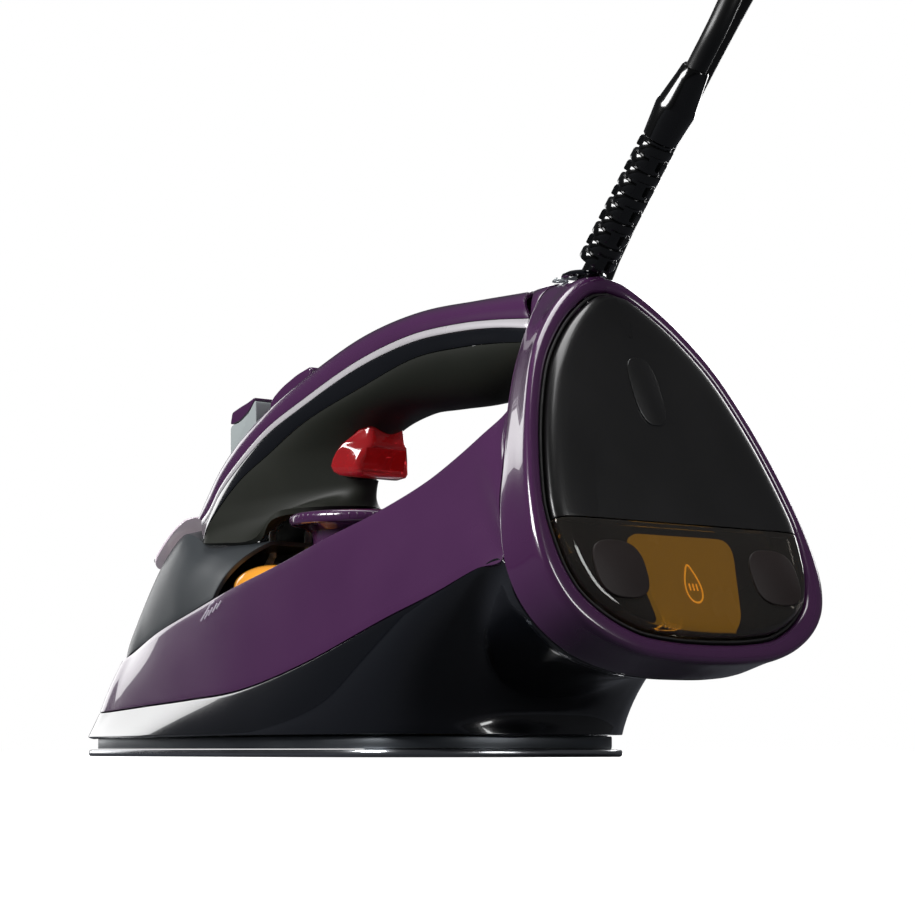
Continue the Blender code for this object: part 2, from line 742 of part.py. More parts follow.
knob_frame = top_frame(-59)
boost_frame = top_frame(-34)
knob_outline = [
    (-68, 108.2), (-68.2, 120.6), (-62.8, 121.6), (-56.8, 124.6), (-51.9, 129.0),
    (-50.2, 128.4), (-50.2, 120.2),
]
cap_outline = [
    (-68.2, 121.1), (-67.2, 125.4), (-63, 126.9), (-57, 128.2), (-52.2, 130.0),
    (-52.0, 129.5), (-57.0, 125.2), (-62.9, 122.1),
]
boost_outline = [
    (-46.5, 122.2), (-46.6, 127.4), (-44.6, 129.6), (-40, 132.6), (-32, 136.2),
    (-24.4, 138.4), (-23.4, 137.6), (-23.2, 132.6),
]
prism("spray_button", knob_outline, KNOB_HALF, pale_grey, bevel=1.2)
prism("spray_button_cap", cap_outline, KNOB_HALF, purple, bevel=0.3)
prism("steam_boost_button", boost_outline, BOOST_HALF, purple, bevel=0.8)
knob_opening = [(-68.9, 95), (-68.9, 135), (-48.4, 135), (-48.4, 95)]
boost_opening = [(-47.2, 112), (-47.2, 145), (-21.9, 145), (-21.9, 112)]
knob_hole = prism("knob_hole", knob_opening, KNOB_HALF + BUTTON_GAP, None, cutters)
boost_hole = prism("boost_hole", boost_opening, BOOST_HALF + BUTTON_GAP, None, cutters)
cut(top_cover, knob_hole, boost_hole)

# Pumps under the two buttons, with their return springs


def coil(name, radius, thick, length, turns, colour, frame):
    """A helical spring along frame's Z, from its origin down."""
    steps = int(turns * 8)
    points = []
    for i in range(steps + 1):
        turn = 2 * math.pi * i / 8
        points.append(frame @ Vector((radius * math.cos(turn), radius * math.sin(turn), -length * i / steps)))
    return wire(name, points, thick, colour, 0)


def below(frame, depth):
    return frame @ Matrix.Translation(Vector((0, 0, -depth)))


pump_depth = 16.5
for name, frame in (("spray", knob_frame), ("boost", boost_frame)):
    down = frame.to_3x3() @ Vector((0, 0, 1))
    spring_top = below(frame, pump_depth - 6.2)
    coil(name + "_spring", 3.2, 0.4, 5.2, 3.5, steel, spring_top)
    centre = below(frame, pump_depth + PUMP_LENGTH / 2).translation
    rod(name + "_pump", PUMP_RADIUS, PUMP_LENGTH, white_nylon, centre, down, 16)

# ---- trigger in the corner between neck and grip

trigger_outline = [
    (13, 117.0), (13, 108.6), (7.5, 102.6), (2.2, 98.4), (-3.5, 96.6), (-8.6, 99.4),
    (-9, 103), (-5, 108.5), (3, 116.6), (6, 118.4),
]
trigger = prism("steam_trigger", trigger_outline, TRIGGER_HALF, red_clear, bevel=0.8)
trigger_opening = [(16, 120.5), (16, 94), (-11.5, 94), (-11.5, 105), (0, 120.5)]
trigger_hole = prism("trigger_hole", trigger_opening, TRIGGER_HALF + BUTTON_GAP, None, cutters)
cut(grip, trigger_hole)
trigger_pivot = at(6.5, 0, 113.5)
rod("trigger_pin", TRIGGER_PIN, 24, steel, trigger_pivot, (0, 1, 0), 16)
pivot_bore = rod("pivot_bore", TRIGGER_PIN + GAP, 40, None, trigger_pivot, (0, 1, 0), 16, cutters)
cut(trigger, pivot_bore)
spring_frame = frame_at(at(-11.0, 0, 108.6), (0.65, 0.76)) @ Matrix.Translation(Vector((0, 0, 6.3)))
coil("trigger_spring", 2.2, 0.35, 6.0, 3.5, steel, spring_frame)
switch_frame = level(at(0, 0, 99.5).z) @ Matrix.Translation(Vector((-15.4, 0, 0)))
block("microswitch", (6, 7, 7), charcoal, switch_frame, 0.4)

# ---- temperature dial, its spindle and the thermostat below the tank

dial_top = at(0, 0, DIAL_TOP).z
brim_foot = dial_top - BRIM_THICKNESS
hub_foot = brim_foot - HUB_HEIGHT
dial_profile = [
    (0, dial_top), (DIAL_RADIUS - 3, dial_top), (DIAL_RADIUS - 0.6, dial_top - 0.8),
    (DIAL_RADIUS, dial_top - 1.8),
    (DIAL_RADIUS - 0.4, brim_foot + 0.4), (DIAL_RADIUS - 1.4, brim_foot), (HUB_RADIUS + 1.5, brim_foot - 1.2),
    (HUB_RADIUS, brim_foot - 2.4), (HUB_RADIUS - 0.4, hub_foot), (0, hub_foot),
]
turned("temperature_dial", dial_profile, purple, at(0, 0, 0), steps=40)
tank_foot = 27.0
spindle_foot = tank_foot + 0.5
spindle_head = hub_foot - GAP
spindle_middle = Vector((0, 0, (spindle_head + spindle_foot) / 2))
rod("thermostat_spindle", SPINDLE_RADIUS, spindle_head - spindle_foot, brass, spindle_middle)
sleeve_inner = SPINDLE_RADIUS + 0.5
pipe("spindle_sleeve", sleeve_inner + SLEEVE_WALL, sleeve_inner, 28.0, white_nylon, Vector((0, 0, 43.5)))
block("thermostat", (26, 18, 8.5), cast, level(21.0), 0.5)
rod("thermal_fuse", 2.6, 16, white_nylon, at(34, 0, 18.8), (0, 1, 0), 12)
valve_profile = [(0, 26.2), (3, 26.2), (3, 21), (5, 20), (5, 15.6), (0, 15.6)]
turned("drip_valve", valve_profile, brass, at(-44, 0, 0), steps=16)

well_radius = sleeve_inner + SLEEVE_WALL + 0.6
well = rod("dial_well", well_radius, 60, None, Vector((0, 0, 45)), group=cutters, steps=20)
cut(deck, well)

# Water tank: an open tray under the roof
tank_plan = design(
    (-112, 0, 0), (-108, 5.5, 0), (-96, 12, 0), (-76, 20, 0), (-50, 28, 0), (-20, 36, 0), (10, 41, 0),
    (40, 44, 0), (62, 44, 0), (70, 38, 0), (70, 0, 0),
)
tank_roofs = (34, 35, 37, 40, 44, 48, 50, 50, 50, 50, 50)

def tank_rings(inset, floor):
    """Horizontal rings of the tank, moved in by inset, from floor up to its slanted rim."""
    rings = []
    for share in (0.0, 0.12, 1.0):
        half = []
        for point, roof in zip(tank_plan, tank_roofs):
            top_z = at(0, 0, roof).z + (1.0 if inset else 0.0)
            squeeze = 0.95 if share == 0 else 1.0
            endways = inset * 1.6 if point.x < 0 else -inset
            x = point.x + (endways if abs(point.y) < 30 or point.x > 60 else 0)
            y = max(point.y * squeeze - inset, 0.0)
            half.append(Vector((x, y, floor + (top_z - floor) * share)))
        half[0].y = half[-1].y = 0
        rings.append(half + [mirrored(p) for p in reversed(half[1:-1])])
    return rings


tank = solid("water_tank", tank_rings(0.0, tank_foot), smoked)
tank_hollow = solid("tank_hollow", tank_rings(1.6, tank_foot + 1.6), None, cutters)
hole_radius = sleeve_inner + SLEEVE_WALL + 0.4
sleeve_hole = rod("sleeve_hole", hole_radius, 30, None, Vector((0, 0, 35)), group=cutters, steps=20)
valve_hole = rod("valve_hole", 2.2, 10, None, at(-44, 0, 0) + Vector((0, 0, 31)), group=cutters)
cut(tank, tank_hollow, sleeve_hole, valve_hole)

# Filling door over the port on the nose, with its hinge pin and the funnel under it
door_frame = frame_at(at(-104.2, 0, 78.4), (20, 18.2))
door_stations = [
    (-13.6, 0.25, 0.3), (-12.6, 0.55, 2.6), (-9.5, 0.86, 4.3), (-5, 1.0, 4.7), (1, 1.0, 4.3),
    (7, 0.92, 3.2), (11.5, 0.72, 1.9), (13.4, 0.4, 1.0),
]
rings = []
lift = 1.5
for run, wide, tall in door_stations:
    ring = []
    for i in range(9):
        angle = math.pi * i / 8
        height = tall * math.sin(angle) ** 0.7 if 0 < i < 8 else 0.0
        ring.append(door_frame @ Vector((run, DOOR_HALF * wide * math.cos(angle), lift + height)))
    rings.append(ring)
door = solid("filling_door", rings, lilac, smooth=True)
door_pivot = door_frame @ Vector((-10.8, 0, 3.1))
rod("door_pin", DOOR_PIN, 21, steel, door_pivot, (0, 1, 0), 12)
door_bore = rod("door_bore", DOOR_PIN + GAP, 40, None, door_pivot, (0, 1, 0), 12, cutters)
cut(door, door_bore)
out = door_frame.to_3x3() @ Vector((0, 0, 1))
port_hole = rod("port_hole", PORT_RADIUS, 16, None, door_frame.translation, out, group=cutters, steps=20)
cut(nose_cover, port_hole)
funnel_mid = (door_frame @ Matrix.Translation(Vector((0, 0, -11)))).translation
pipe("filling_funnel", PORT_RADIUS - 0.5, PORT_RADIUS - 1.7, 20, white_nylon, funnel_mid, out)

# Spray nozzle low on the nose ridge
nozzle_frame = frame_at(at(-125.2, 0, 55.0), (0.64, 0.77))
nozzle_out = nozzle_frame.to_3x3() @ Vector((0, 0, 1))
nozzle_hole = rod("nozzle_hole", 3.4, 12, None, nozzle_frame.translation, nozzle_out, group=cutters)
cut(nose_cover, nozzle_hole)
nozzle_profile = [(0, 1.2), (0.9, 2.2), (2.4, 1.9), (2.9, 0.8), (2.9, -5), (0, -5)]
turned("spray_nozzle", nozzle_profile, black_gloss, nozzle_frame.translation, nozzle_out, 20)

# Hoses from the pumps: one to the nozzle, one down to the tank
hose_ends = {"spray": (at(-118, 0.5, 50), at(-61, 7, 78)), "boost": (at(-44, 9, 50), at(-41, 7.5, 78))}
for name, frame in (("spray", knob_frame), ("boost", boost_frame)):
    out_end, crossing = hose_ends[name]
    start = below(frame, pump_depth + PUMP_LENGTH + 0.5).translation
    leaving = below(frame, pump_depth + PUMP_LENGTH + 5).translation
    points = [start, leaving, crossing + Vector((0, 0, 4)), crossing - Vector((0, 0, 5))]
    if name == "spray":
        points += design((-78, 9, 62), (-100, 6, 54), (-112, 2, 51))
    points.append(out_end)
    wire(name + "_hose", stations(points, 3, False), 1.4, white_nylon, 1)
    passage = rod(name + "_hose_hole", 2.8, 14, None, crossing, group=cutters, steps=12)
    cut(nose_cover, passage)
roof_hole = rod("roof_hose_hole", 2.8, 12, None, at(-44, 9, 54), group=cutters, steps=12)
cut(deck, roof_hole)

# Amber indicator lenses on the tank roof, one each side of the neck's foot
for side, hand in ((1, "left"), (-1, "right")):
    centre = at(-26, 25 * side, 0)
    rings = []
    for share in (0.0, 0.3, 0.55, 0.78, 0.93):
        tall = math.sqrt(1 - share**2) if share else 1.0
        ring = []
        for a in range(20):
            angle = a * math.pi / 10
            reach = Vector((15.5 * tall * math.cos(angle), 8 * tall * math.sin(angle), 59.2 + 7 * share))
            ring.append(centre + reach)
        rings.append(ring)
    solid("indicator_lens_" + hand, rings, amber, smooth=True)

# ---- heel: gasket, plate, and the scale drawer with its feet


def heel_rings(inset_depths, low, high):
    """Rings round the heel's face at (depth, inset), cut off below low and above high."""
    rings = []
    for depth, inset in inset_depths:
        count = (len(collar_back) - 1) * 2
        half = [outline_at(0, i / 2) for i in range(count + 1)]
        ring = []
        for i, point in enumerate(half):
            before = half[i - 1] if i else mirrored(half[1])
            after = half[i + 1] if i < count else mirrored(half[-2])
            run = (after - before).normalized()
            moved = point + Vector((run.y, -run.x, 0)) * inset
            ring.append(Vector((moved.x, max(moved.y, 0.0), 0)))
        ring[0].y = ring[-1].y = 0.0
        crossings = {}
        for edge in (low, high):
            for one, two in zip(ring, ring[1:]):
                if (one.x - edge) * (two.x - edge) < 0:
                    crossings[edge] = one.lerp(two, (edge - one.x) / (two.x - one.x)).y
        kept = []
        for point in ring:
            edge = min(max(point.x, low), high)
            side = crossings.get(edge, point.y) if edge != point.x else point.y
            if edge != point.x and point.y < 1e-6:
                side = 0.0
            kept.append(Vector((edge, side, 0)))
        both = kept + [Vector((p.x, -p.y, 0)) for p in reversed(kept[1:-1])]
        rings.append([heel_point(p.x, p.y, depth) for p in both])
    return rings


whole = (-50.0, 200.0)
gasket_rings = [heel_rings([row], *whole)[0] for row in ((1.0, 5.95), (1.0, 7.2), (4.4, 7.2), (4.4, 5.95))]
ring_solid("heel_gasket", [list(column) for column in zip(*gasket_rings)], rubber)
plate_edge = [(3.6, 7.6), (0.2, 7.6), (-1.4, 8.2), (-2.4, 9.8), (-3.0, 14), (-3.2, 20)]
solid("heel_plate", heel_rings(plate_edge, DRAWER_LINE + 0.35, 200.0), charcoal, smooth=True)
drawer_front = solid("drawer_front", heel_rings(plate_edge, -50.0, DRAWER_LINE - 0.35), smoked, smooth=True)


def heel_frame(along, y, depth):
    """A frame on the heel: X up along it, Y to the side, Z out of its face."""
    x = (heel_point(1, 0, 0) - heel_point(0, 0, 0)).normalized()
    z = Vector((x.z, 0, -x.x))
    axes = Matrix((x, z.cross(x), z)).transposed().to_4x4()
    return Matrix.Translation(heel_point(along, y, depth)) @ axes


def foot(name, along, y, size, corner):
    """A flat rubber pad let into the heel's face."""
    outline = []
    for i in range(16):
        angle = 2 * math.pi * i / 16
        cos, sin = math.cos(angle), math.sin(angle)
        outline.append((
            size[0] / 2 * abs(cos) ** corner * (1 if cos >= 0 else -1),
            size[1] / 2 * abs(sin) ** corner * (1 if sin >= 0 else -1),
        ))
    return plate(name, [outline], FOOT_STAND, rubber, heel_frame(along, y, -3.2 - 0.3 - FOOT_STAND / 2))


foot("heel_foot_top", 85.4, 0, (23, 11), 1.0)
foot("drawer_foot_left", 22.5, 34, (18, 23), 0.6)
foot("drawer_foot_right", 22.5, -34, (18, 23), 0.6)
block("scale_collector", (24, 50, 24), amber, heel_frame(21.0, 0, 16.5), 2.0)

# ---- inside the rear column

block("terminal_block", (14, 26, 12), white_nylon, level(92.0) @ Matrix.Translation(Vector((112, 0, 0))), 0.5)
block("circuit_board", (34, 24, 1.6), board, heel_frame(66.0, 0, 12.0))
clamp_frame = level(HEIGHT - 17.0) @ Matrix.Translation(Vector((104.5, 0, 0)))
block("cord_clamp", (10, 14, 6), white_nylon, clamp_frame, 0.8)

# ---- cord guard, its socket, and the small light in front of it

guard_foot = at(109.5, 0, 154.8)
guard_run = Vector((0.62, 0, 0.785)).normalized()
guard_profile = [(0, -9.0), (3.2, -9.0), (3.2, RIBS_START)]
for rib in range(GUARD_RIBS):
    start = RIBS_START + rib * RIB_PITCH
    guard_profile += [
        (RIB_RADIUS, start), (RIB_RADIUS, start + RIB_WIDTH),
        (GUARD_CORE, start + RIB_WIDTH), (GUARD_CORE, start + RIB_PITCH),
    ]
ribs_end = RIBS_START + GUARD_RIBS * RIB_PITCH
guard_end = ribs_end + 26.0
guard_profile += [
    (5.7, ribs_end), (6.8, ribs_end + 11), (6.4, ribs_end + 13), (4.6, guard_end), (0, guard_end),
]
turned("cord_guard", list(reversed(guard_profile)), black_gloss, guard_foot, guard_run, 16)
neck_hole = rod("neck_hole", 3.7, 40, None, guard_foot, guard_run, group=cutters, steps=20)
cut(collar, neck_hole)
socket_profile = [(0, 1.9), (5.2, 1.7), (7.0, 0.9), (7.4, 0.0), (0, 0.0)]
socket = turned("cord_socket", socket_profile, black_gloss, at(107.2, 0, 155.25), (0, 0, 1), 24)
cut(socket, neck_hole)
turned(
    "auto_off_light", [(0, 1.6), (1.6, 1.3), (2.6, 0.5), (2.8, 0), (0, 0)], lilac,
    at(96.5, 0, 155.0), (0, 0, 1), 16,
)

# ---- mains cord: over in a hairpin behind the guard, down the far side, and into a coil on the floor

cord_start = guard_foot + guard_run * (guard_end + GAP)
shift = cord_start - Vector(CORD_ROUTE[0])
cord_points = []
for k, point in enumerate(CORD_ROUTE):
    # the guard's own move fades out towards the coil
    cord_points.append(Vector(point) + shift * max(1 - k / (len(CORD_ROUTE) - 4), 0.0))
wire("cord_tube", stations(cord_points, 5, False), CORD_RADIUS, rubber, 2)
coil_half = COIL_TURNS * CORD_RADIUS
coil_height = 2 * COIL_ROWS * CORD_RADIUS
coil_profile = [
    (COIL_MID_RADIUS - coil_half, coil_height), (COIL_MID_RADIUS + coil_half, coil_height),
    (COIL_MID_RADIUS + coil_half, 0), (COIL_MID_RADIUS - coil_half, 0),
]
turned("cord_coil", coil_profile, rubber, Vector((*COIL_CENTRE, 0)), steps=40)

# The plug lies on the coil
plug_place = level(coil_height + 0.3 + PLUG_RADIUS) @ Matrix.Translation(Vector((*PLUG_CENTRE, 0)))
plug_run = Vector((-1, 0, 0))
plug_profile = [
    (0, 22), (14, 22), (PLUG_RADIUS, 19), (PLUG_RADIUS, 6), (11, 0), (7.5, -10), (5.5, -22), (0, -22),
]
turned("plug_body", plug_profile, rubber, plug_place.translation, plug_run, 24)
for side, hand in ((-1, "right"), (1, "left")):
    middle = plug_place.translation + plug_run * 32 + Vector((-plug_run.y, plug_run.x, 0)) * 9.5 * side
    wire("plug_pin_" + hand, [middle - plug_run * 9.5, middle + plug_run * 9.5], 2.2, brass, 2)

# ---- the screw that holds the housing to the heater, under the heel
screw_profile = [(0, 12), (1.6, 12), (1.6, 2.6), (3.2, 2.2), (3.2, 0), (0, 0)]
turned("housing_screw", screw_profile, steel, at(80, 0, 9.0), steps=12)
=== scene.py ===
import math

import bmesh
import bpy
from mathutils import Matrix, Vector


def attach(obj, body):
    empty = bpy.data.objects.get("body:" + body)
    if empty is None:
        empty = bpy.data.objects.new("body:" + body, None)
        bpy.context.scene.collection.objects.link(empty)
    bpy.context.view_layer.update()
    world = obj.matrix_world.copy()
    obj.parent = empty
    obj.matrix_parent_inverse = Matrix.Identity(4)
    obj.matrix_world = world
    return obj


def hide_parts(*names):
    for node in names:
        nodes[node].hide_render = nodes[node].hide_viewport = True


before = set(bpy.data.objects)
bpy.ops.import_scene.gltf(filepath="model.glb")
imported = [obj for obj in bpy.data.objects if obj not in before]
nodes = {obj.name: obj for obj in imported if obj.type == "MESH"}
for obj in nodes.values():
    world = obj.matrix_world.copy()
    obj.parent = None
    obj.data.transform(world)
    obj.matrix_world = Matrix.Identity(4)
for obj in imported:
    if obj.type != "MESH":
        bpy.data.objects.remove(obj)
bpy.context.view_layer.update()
mm = 0.001

# The nose points along -X and the heel along +X. Lengths below are millimetres unless a name says otherwise.

# numbers, curves and nets


def at(x, y, z):
    return Vector((x, y, z))


def guideAt(points, t, crosses):
    # a centripetal spline through the points; where it crosses, it meets Y = 0 squarely at both ends
    last = len(points) - 1
    k = min(int(t), last - 1)
    flip = lambda p: Vector((p.x, -p.y, p.z))
    before = flip(points[1]) if crosses else points[0] * 2 - points[1]
    after = flip(points[-2]) if crosses else points[-1] * 2 - points[-2]
    p0 = points[k - 1] if k else before
    p3 = points[k + 2] if k < last - 1 else after
    p1, p2 = points[k], points[k + 1]
    knots = [0.0]
    for one, two in ((p0, p1), (p1, p2), (p2, p3)):
        knots.append(knots[-1] + max((two - one).length, 1e-6) ** 0.5)
    k0, k1, k2, k3 = knots
    place = k1 + (t - k) * (k2 - k1)
    mix = lambda a, b, low, high: a.lerp(b, (place - low) / (high - low))
    a1, a2, a3 = mix(p0, p1, k0, k1), mix(p1, p2, k1, k2), mix(p2, p3, k2, k3)
    return mix(mix(a1, a2, k0, k2), mix(a2, a3, k1, k3), k1, k2)


def along(points, steps, crosses=True):
    return [guideAt(points, i / steps, crosses) for i in range((len(points) - 1) * steps + 1)]


def bend(a, b, c, v):
    return a.lerp(b, v).lerp(b.lerp(c, v), v)


def mirrored(point):
    return Vector((point.x, -point.y, point.z))


def wholeLoop(rows):
    for point in [*rows[0], *rows[-1]]:
        point.y = 0.0
    return rows + [[mirrored(p) for p in row] for row in reversed(rows[1:-1])]


def across(row):
    row[-1].y = 0.0
    return row + [mirrored(p) for p in reversed(row[:-1])]


def short(edge, inner, gap):
    return edge + (inner - edge).normalized() * gap


def design(*rows):
    return [Vector(row) for row in rows]


def netFaces(high, wide, wrapRows, wrapColumns):
    faces = []
    for i in range(high if wrapRows else high - 1):
        for j in range(wide if wrapColumns else wide - 1):
            a, b, k = i * wide, (i + 1) % high * wide, (j + 1) % wide
            faces.append((a + j, a + k, b + k, b + j))
    return faces


def placed(name, points, faces, material):
    mesh = bpy.data.meshes.new(name)
    mesh.from_pydata([p * mm for p in points], [], faces)
    piece = bpy.data.objects.new(name, mesh)
    bpy.context.scene.collection.objects.link(piece)
    mesh.materials.append(material)
    return piece


def modify(piece, kind, **settings):
    made = piece.modifiers.new(kind.lower(), kind)
    for key, value in settings.items():
        setattr(made, key, value)
    return made


def plainMesh(piece, sharp=35):
    # the piece as its modifiers leave it, as a mesh of its own
    graph = bpy.context.evaluated_depsgraph_get()
    graph.update()
    mesh = bpy.data.meshes.new_from_object(piece.evaluated_get(graph))
    name, materials = piece.name, [s.material for s in piece.material_slots]
    mesh.transform(piece.matrix_world)
    bpy.data.objects.remove(piece)
    made = bpy.data.objects.new(name, mesh)
    bpy.context.scene.collection.objects.link(made)
    made.name = name
    if not mesh.materials:
        for material in materials:
            mesh.materials.append(material)
    mesh.shade_smooth()
    mesh.set_sharp_from_angle(angle=math.radians(sharp))
    return made


def cleaned(mesh):
    work = bmesh.new()
    work.from_mesh(mesh)
    bmesh.ops.remove_doubles(work, verts=work.verts, dist=2e-6)
    bmesh.ops.recalc_face_normals(work, faces=work.faces)
    work.to_mesh(mesh)
    work.free()


def skin(name, rows, material, outward, wall=1.4, wrapRows=False, edge=0.3, cuts=()):
    # an open sheet that gets a wall behind it and rounded rims
    flat = [p for row in rows for p in row]
    piece = placed(name, flat, netFaces(len(rows), len(rows[0]), wrapRows, False), material)
    mesh = piece.data
    mesh.update()
    if sum(f.normal.dot(outward(f.center / mm)) * f.area for f in mesh.polygons) < 0:
        mesh.flip_normals()
    work = bmesh.new()
    work.from_mesh(mesh)
    bmesh.ops.remove_doubles(work, verts=work.verts, dist=5e-6)
    work.to_mesh(mesh)
    work.free()
    modify(piece, "SOLIDIFY", thickness=wall * mm, offset=-1, use_even_offset=False)
    for tool in cuts:
        modify(piece, "BOOLEAN", operation="DIFFERENCE", object=tool)
    if edge:
        modify(piece, "BEVEL", width=edge * mm, segments=3, limit_method="ANGLE", angle_limit=math.radians(50))
    return plainMesh(piece)


def body(name, rings, material, edge=0.0, sharp=35, capped=True, cuts=(), rounds=3):
    # a closed body through rings of equal length
    flat = [p for ring in rings for p in ring]
    wide, high = len(rings[0]), len(rings)
    faces = netFaces(high, wide, not capped, True)
    if capped:
        faces += [tuple(range(wide)), tuple(range((high - 1) * wide, high * wide))]
    piece = placed(name, flat, faces, material)
    cleaned(piece.data)
    for tool in cuts:
        modify(piece, "BOOLEAN", operation="DIFFERENCE", object=tool)
    if edge:
        modify(piece, "BEVEL", width=edge * mm, segments=rounds, limit_method="ANGLE", angle_limit=math.radians(40))
    return plainMesh(piece, sharp)


def fromMiddle(point):
    return Vector((point.x * 0.25, point.y, (point.z - 45) * 0.3)).normalized()


def upward(point):
    return Vector((0, 0, 1))


def turnedBody(name, profile, material, place, direction=(0, 0, 1), steps=96, edge=0.0, cuts=()):
    # profile is (radius, height) down the outer side
    turn = Vector((0, 0, 1)).rotation_difference(Vector(direction)).to_matrix()
    rings = []
    for radius, height in profile:
        ring = []
        reach = max(radius, 1e-3)
        for i in range(steps):
            angle = 2 * math.pi * i / steps
            ring.append(place + turn @ Vector((reach * math.cos(angle), reach * math.sin(angle), height)))
        rings.append(ring)
    closed = profile[0][0] > 0
    return body(name, rings, material, edge, capped=not closed, cuts=cuts)


def rounded(corners, radius, steps=5):
    # an outline in (x, z) with each corner turned into an arc
    made = []
    count = len(corners)
    for i in range(count):
        before, corner, after = (Vector(corners[(i + d) % count]) for d in (-1, 0, 1))
        reach = min(radius, (before - corner).length * 0.45, (after - corner).length * 0.45)
        start = corner + (before - corner).normalized() * reach
        end = corner + (after - corner).normalized() * reach
        for s in range(steps + 1):
            made.append(bend(start, corner, end, s / steps))
    return made


def slab(name, outline, half, material, edge=0.6):
    # a side-view outline drawn out to both sides, with rounded rims
    rings = []
    for side in (-half, half):
        rings.append([Vector((p[0], side, p[1])) for p in outline])
    return body(name, rings, material, edge, rounds=4)


def cutter(name, radius, length, place, direction=(0, 0, 1), steps=48):
    tool = turnedBody(
        name, [(0, length / 2), (radius, length / 2), (radius, -length / 2), (0, -length / 2)], None, place,
        direction, steps
    )
    tool.hide_render = True
    tool.hide_viewport = True
    return tool


def fitted(piece, slotName, bodyName, *stoodFor):
    # a finished piece, with the CAD nodes that it stands for, its material slot and the body that it moves with; the
    # material slot is not used
    if stoodFor:
        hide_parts(*stoodFor)
    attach(piece, bodyName)


def tidyTools(*tools):
    for tool in tools:
        bpy.data.objects.remove(tool)


# materials


def linear(colour):
    # an sRGB hex colour as linear RGB
    made = []
    for i in (0, 2, 4):
        c = int(colour[i : i + 2], 16) / 255
        made.append(c / 12.92 if c <= 0.04045 else ((c + 0.055) / 1.055) ** 2.4)
    return (*made, 1.0)


def addNode(tree, kind, settings=(), values=(), links=()):
    # settings are node properties, values are unlinked sockets, links are (socket, other node's output)
    node = tree.nodes.new(kind)
    for key, value in dict(settings).items():
        setattr(node, key, value)
    for key, value in dict(values).items():
        node.inputs[key].default_value = value
    for key, output in dict(links).items():
        tree.links.new(node.inputs[key], output)
    return node


def finish(name, colour, roughness, **more):
    # a Principled material with two scales of surface detail in object space:
    # grain is (size in mm, bump), wear is how much the roughness varies, tint is a second colour for broad patches
    grain, wear, tint = more.pop("grain", (0.5, 0.02)), more.pop("wear", 0.02), more.pop("tint", None)
    material = bpy.data.materials.new(name)
    material.use_nodes = True
    tree = material.node_tree
    shader = tree.nodes["Principled BSDF"]
    shader.inputs["Base Color"].default_value = linear(colour)
    for key, value in more.items():
        shader.inputs[key.replace("_", " ")].default_value = value
    place = addNode(tree, "ShaderNodeTexCoord").outputs["Object"]
    size, strength = grain
    noise = addNode(tree, "ShaderNodeTexNoise", values={"Scale": 1000 / size, "Detail": 2.0}, links={"Vector": place})
    bump = addNode(
        tree, "ShaderNodeBump", values={"Strength": strength, "Distance": size * mm * 0.3},
        links={"Height": noise.outputs["Fac"]},
    )
    tree.links.new(shader.inputs["Normal"], bump.outputs["Normal"])
    smudge = addNode(tree, "ShaderNodeTexNoise", values={"Scale": 28.0, "Detail": 4.0}, links={"Vector": place})
    spread = addNode(
        tree, "ShaderNodeMapRange",
        values={"From Min": 0.3, "From Max": 0.7, "To Min": max(roughness - wear, 0.01), "To Max": roughness + wear},
        links={"Value": smudge.outputs["Fac"]},
    )
    tree.links.new(shader.inputs["Roughness"], spread.outputs["Result"])
    if tint:
        # sockets 6, 7 and output 2 are the colour ones
        blend = addNode(
            tree, "ShaderNodeMix", {"data_type": "RGBA"}, {6: linear(colour), 7: linear(tint)},
            {0: smudge.outputs["Fac"]},
        )
        tree.links.new(shader.inputs["Base Color"], blend.outputs[2])
    return material


def startTree(name, **inputs):
    # a Geometry Nodes tree with a geometry input and the named ones, each (socket kind, first value)
    tree = bpy.data.node_groups.new(name, "GeometryNodeTree")
    tree.interface.new_socket("Geometry", in_out="INPUT", socket_type="NodeSocketGeometry")
    for label, (kind, value) in inputs.items():
        socket = tree.interface.new_socket(label, in_out="INPUT", socket_type="NodeSocket" + kind)
        if value is not None:
            socket.default_value = value
    tree.interface.new_socket("Material", in_out="INPUT", socket_type="NodeSocketMaterial")
    tree.interface.new_socket("Geometry", in_out="OUTPUT", socket_type="NodeSocketGeometry")
    return tree, addNode(tree, "NodeGroupInput").outputs


def endTree(tree, given, shape, keep=None):
    # the shape is realised and painted, then joined to what is kept as it came
    real = addNode(tree, "GeometryNodeRealizeInstances", links={"Geometry": shape})
    painted = addNode(
        tree, "GeometryNodeSetMaterial", links={"Geometry": real.outputs["Geometry"], "Material": given["Material"]}
    )
    last = painted.outputs["Geometry"]
    if keep:
        both = addNode(tree, "GeometryNodeJoinGeometry")
        tree.links.new(both.inputs["Geometry"], keep)
        tree.links.new(both.inputs["Geometry"], last)
        last = both.outputs["Geometry"]
    addNode(tree, "NodeGroupOutput", links={"Geometry": last})


def grown(piece, tree, material, sharp=35, **values):
    # the piece as the tree makes it, as a plain mesh; inputs are set by identifier before the first evaluation
    made = piece.modifiers.new(tree.name, "NODES")
    made.node_group = tree
    for item in tree.interface.items_tree:
        if item.in_out == "INPUT" and item.name in values:
            made[item.identifier] = values[item.name]
        if item.in_out == "INPUT" and item.name == "Material":
            made[item.identifier] = material
    return plainMesh(piece, sharp)


def pathPiece(name, *paths):
    # open paths in one mesh of edges
    points, edges = [], []
    for path in paths:
        first = len(points)
        points += [p * mm for p in path]
        edges += [(first + i, first + i + 1) for i in range(len(path) - 1)]
    mesh = bpy.data.meshes.new(name)
    mesh.from_pydata(points, edges, [])
    piece = bpy.data.objects.new(name, mesh)
    bpy.context.scene.collection.objects.link(piece)
    return piece


gloss = {"Coat_Weight": 1.0, "Coat_Roughness": 0.02, "IOR": 1.5}
# injection-moulded ABS, high gloss: deep purple that turns lighter where light falls across it
purpleAbs = finish("purple_abs_gloss", "46234A", 0.22, grain=(1.6, 0.012), wear=0.03, tint="4E2751", **gloss)
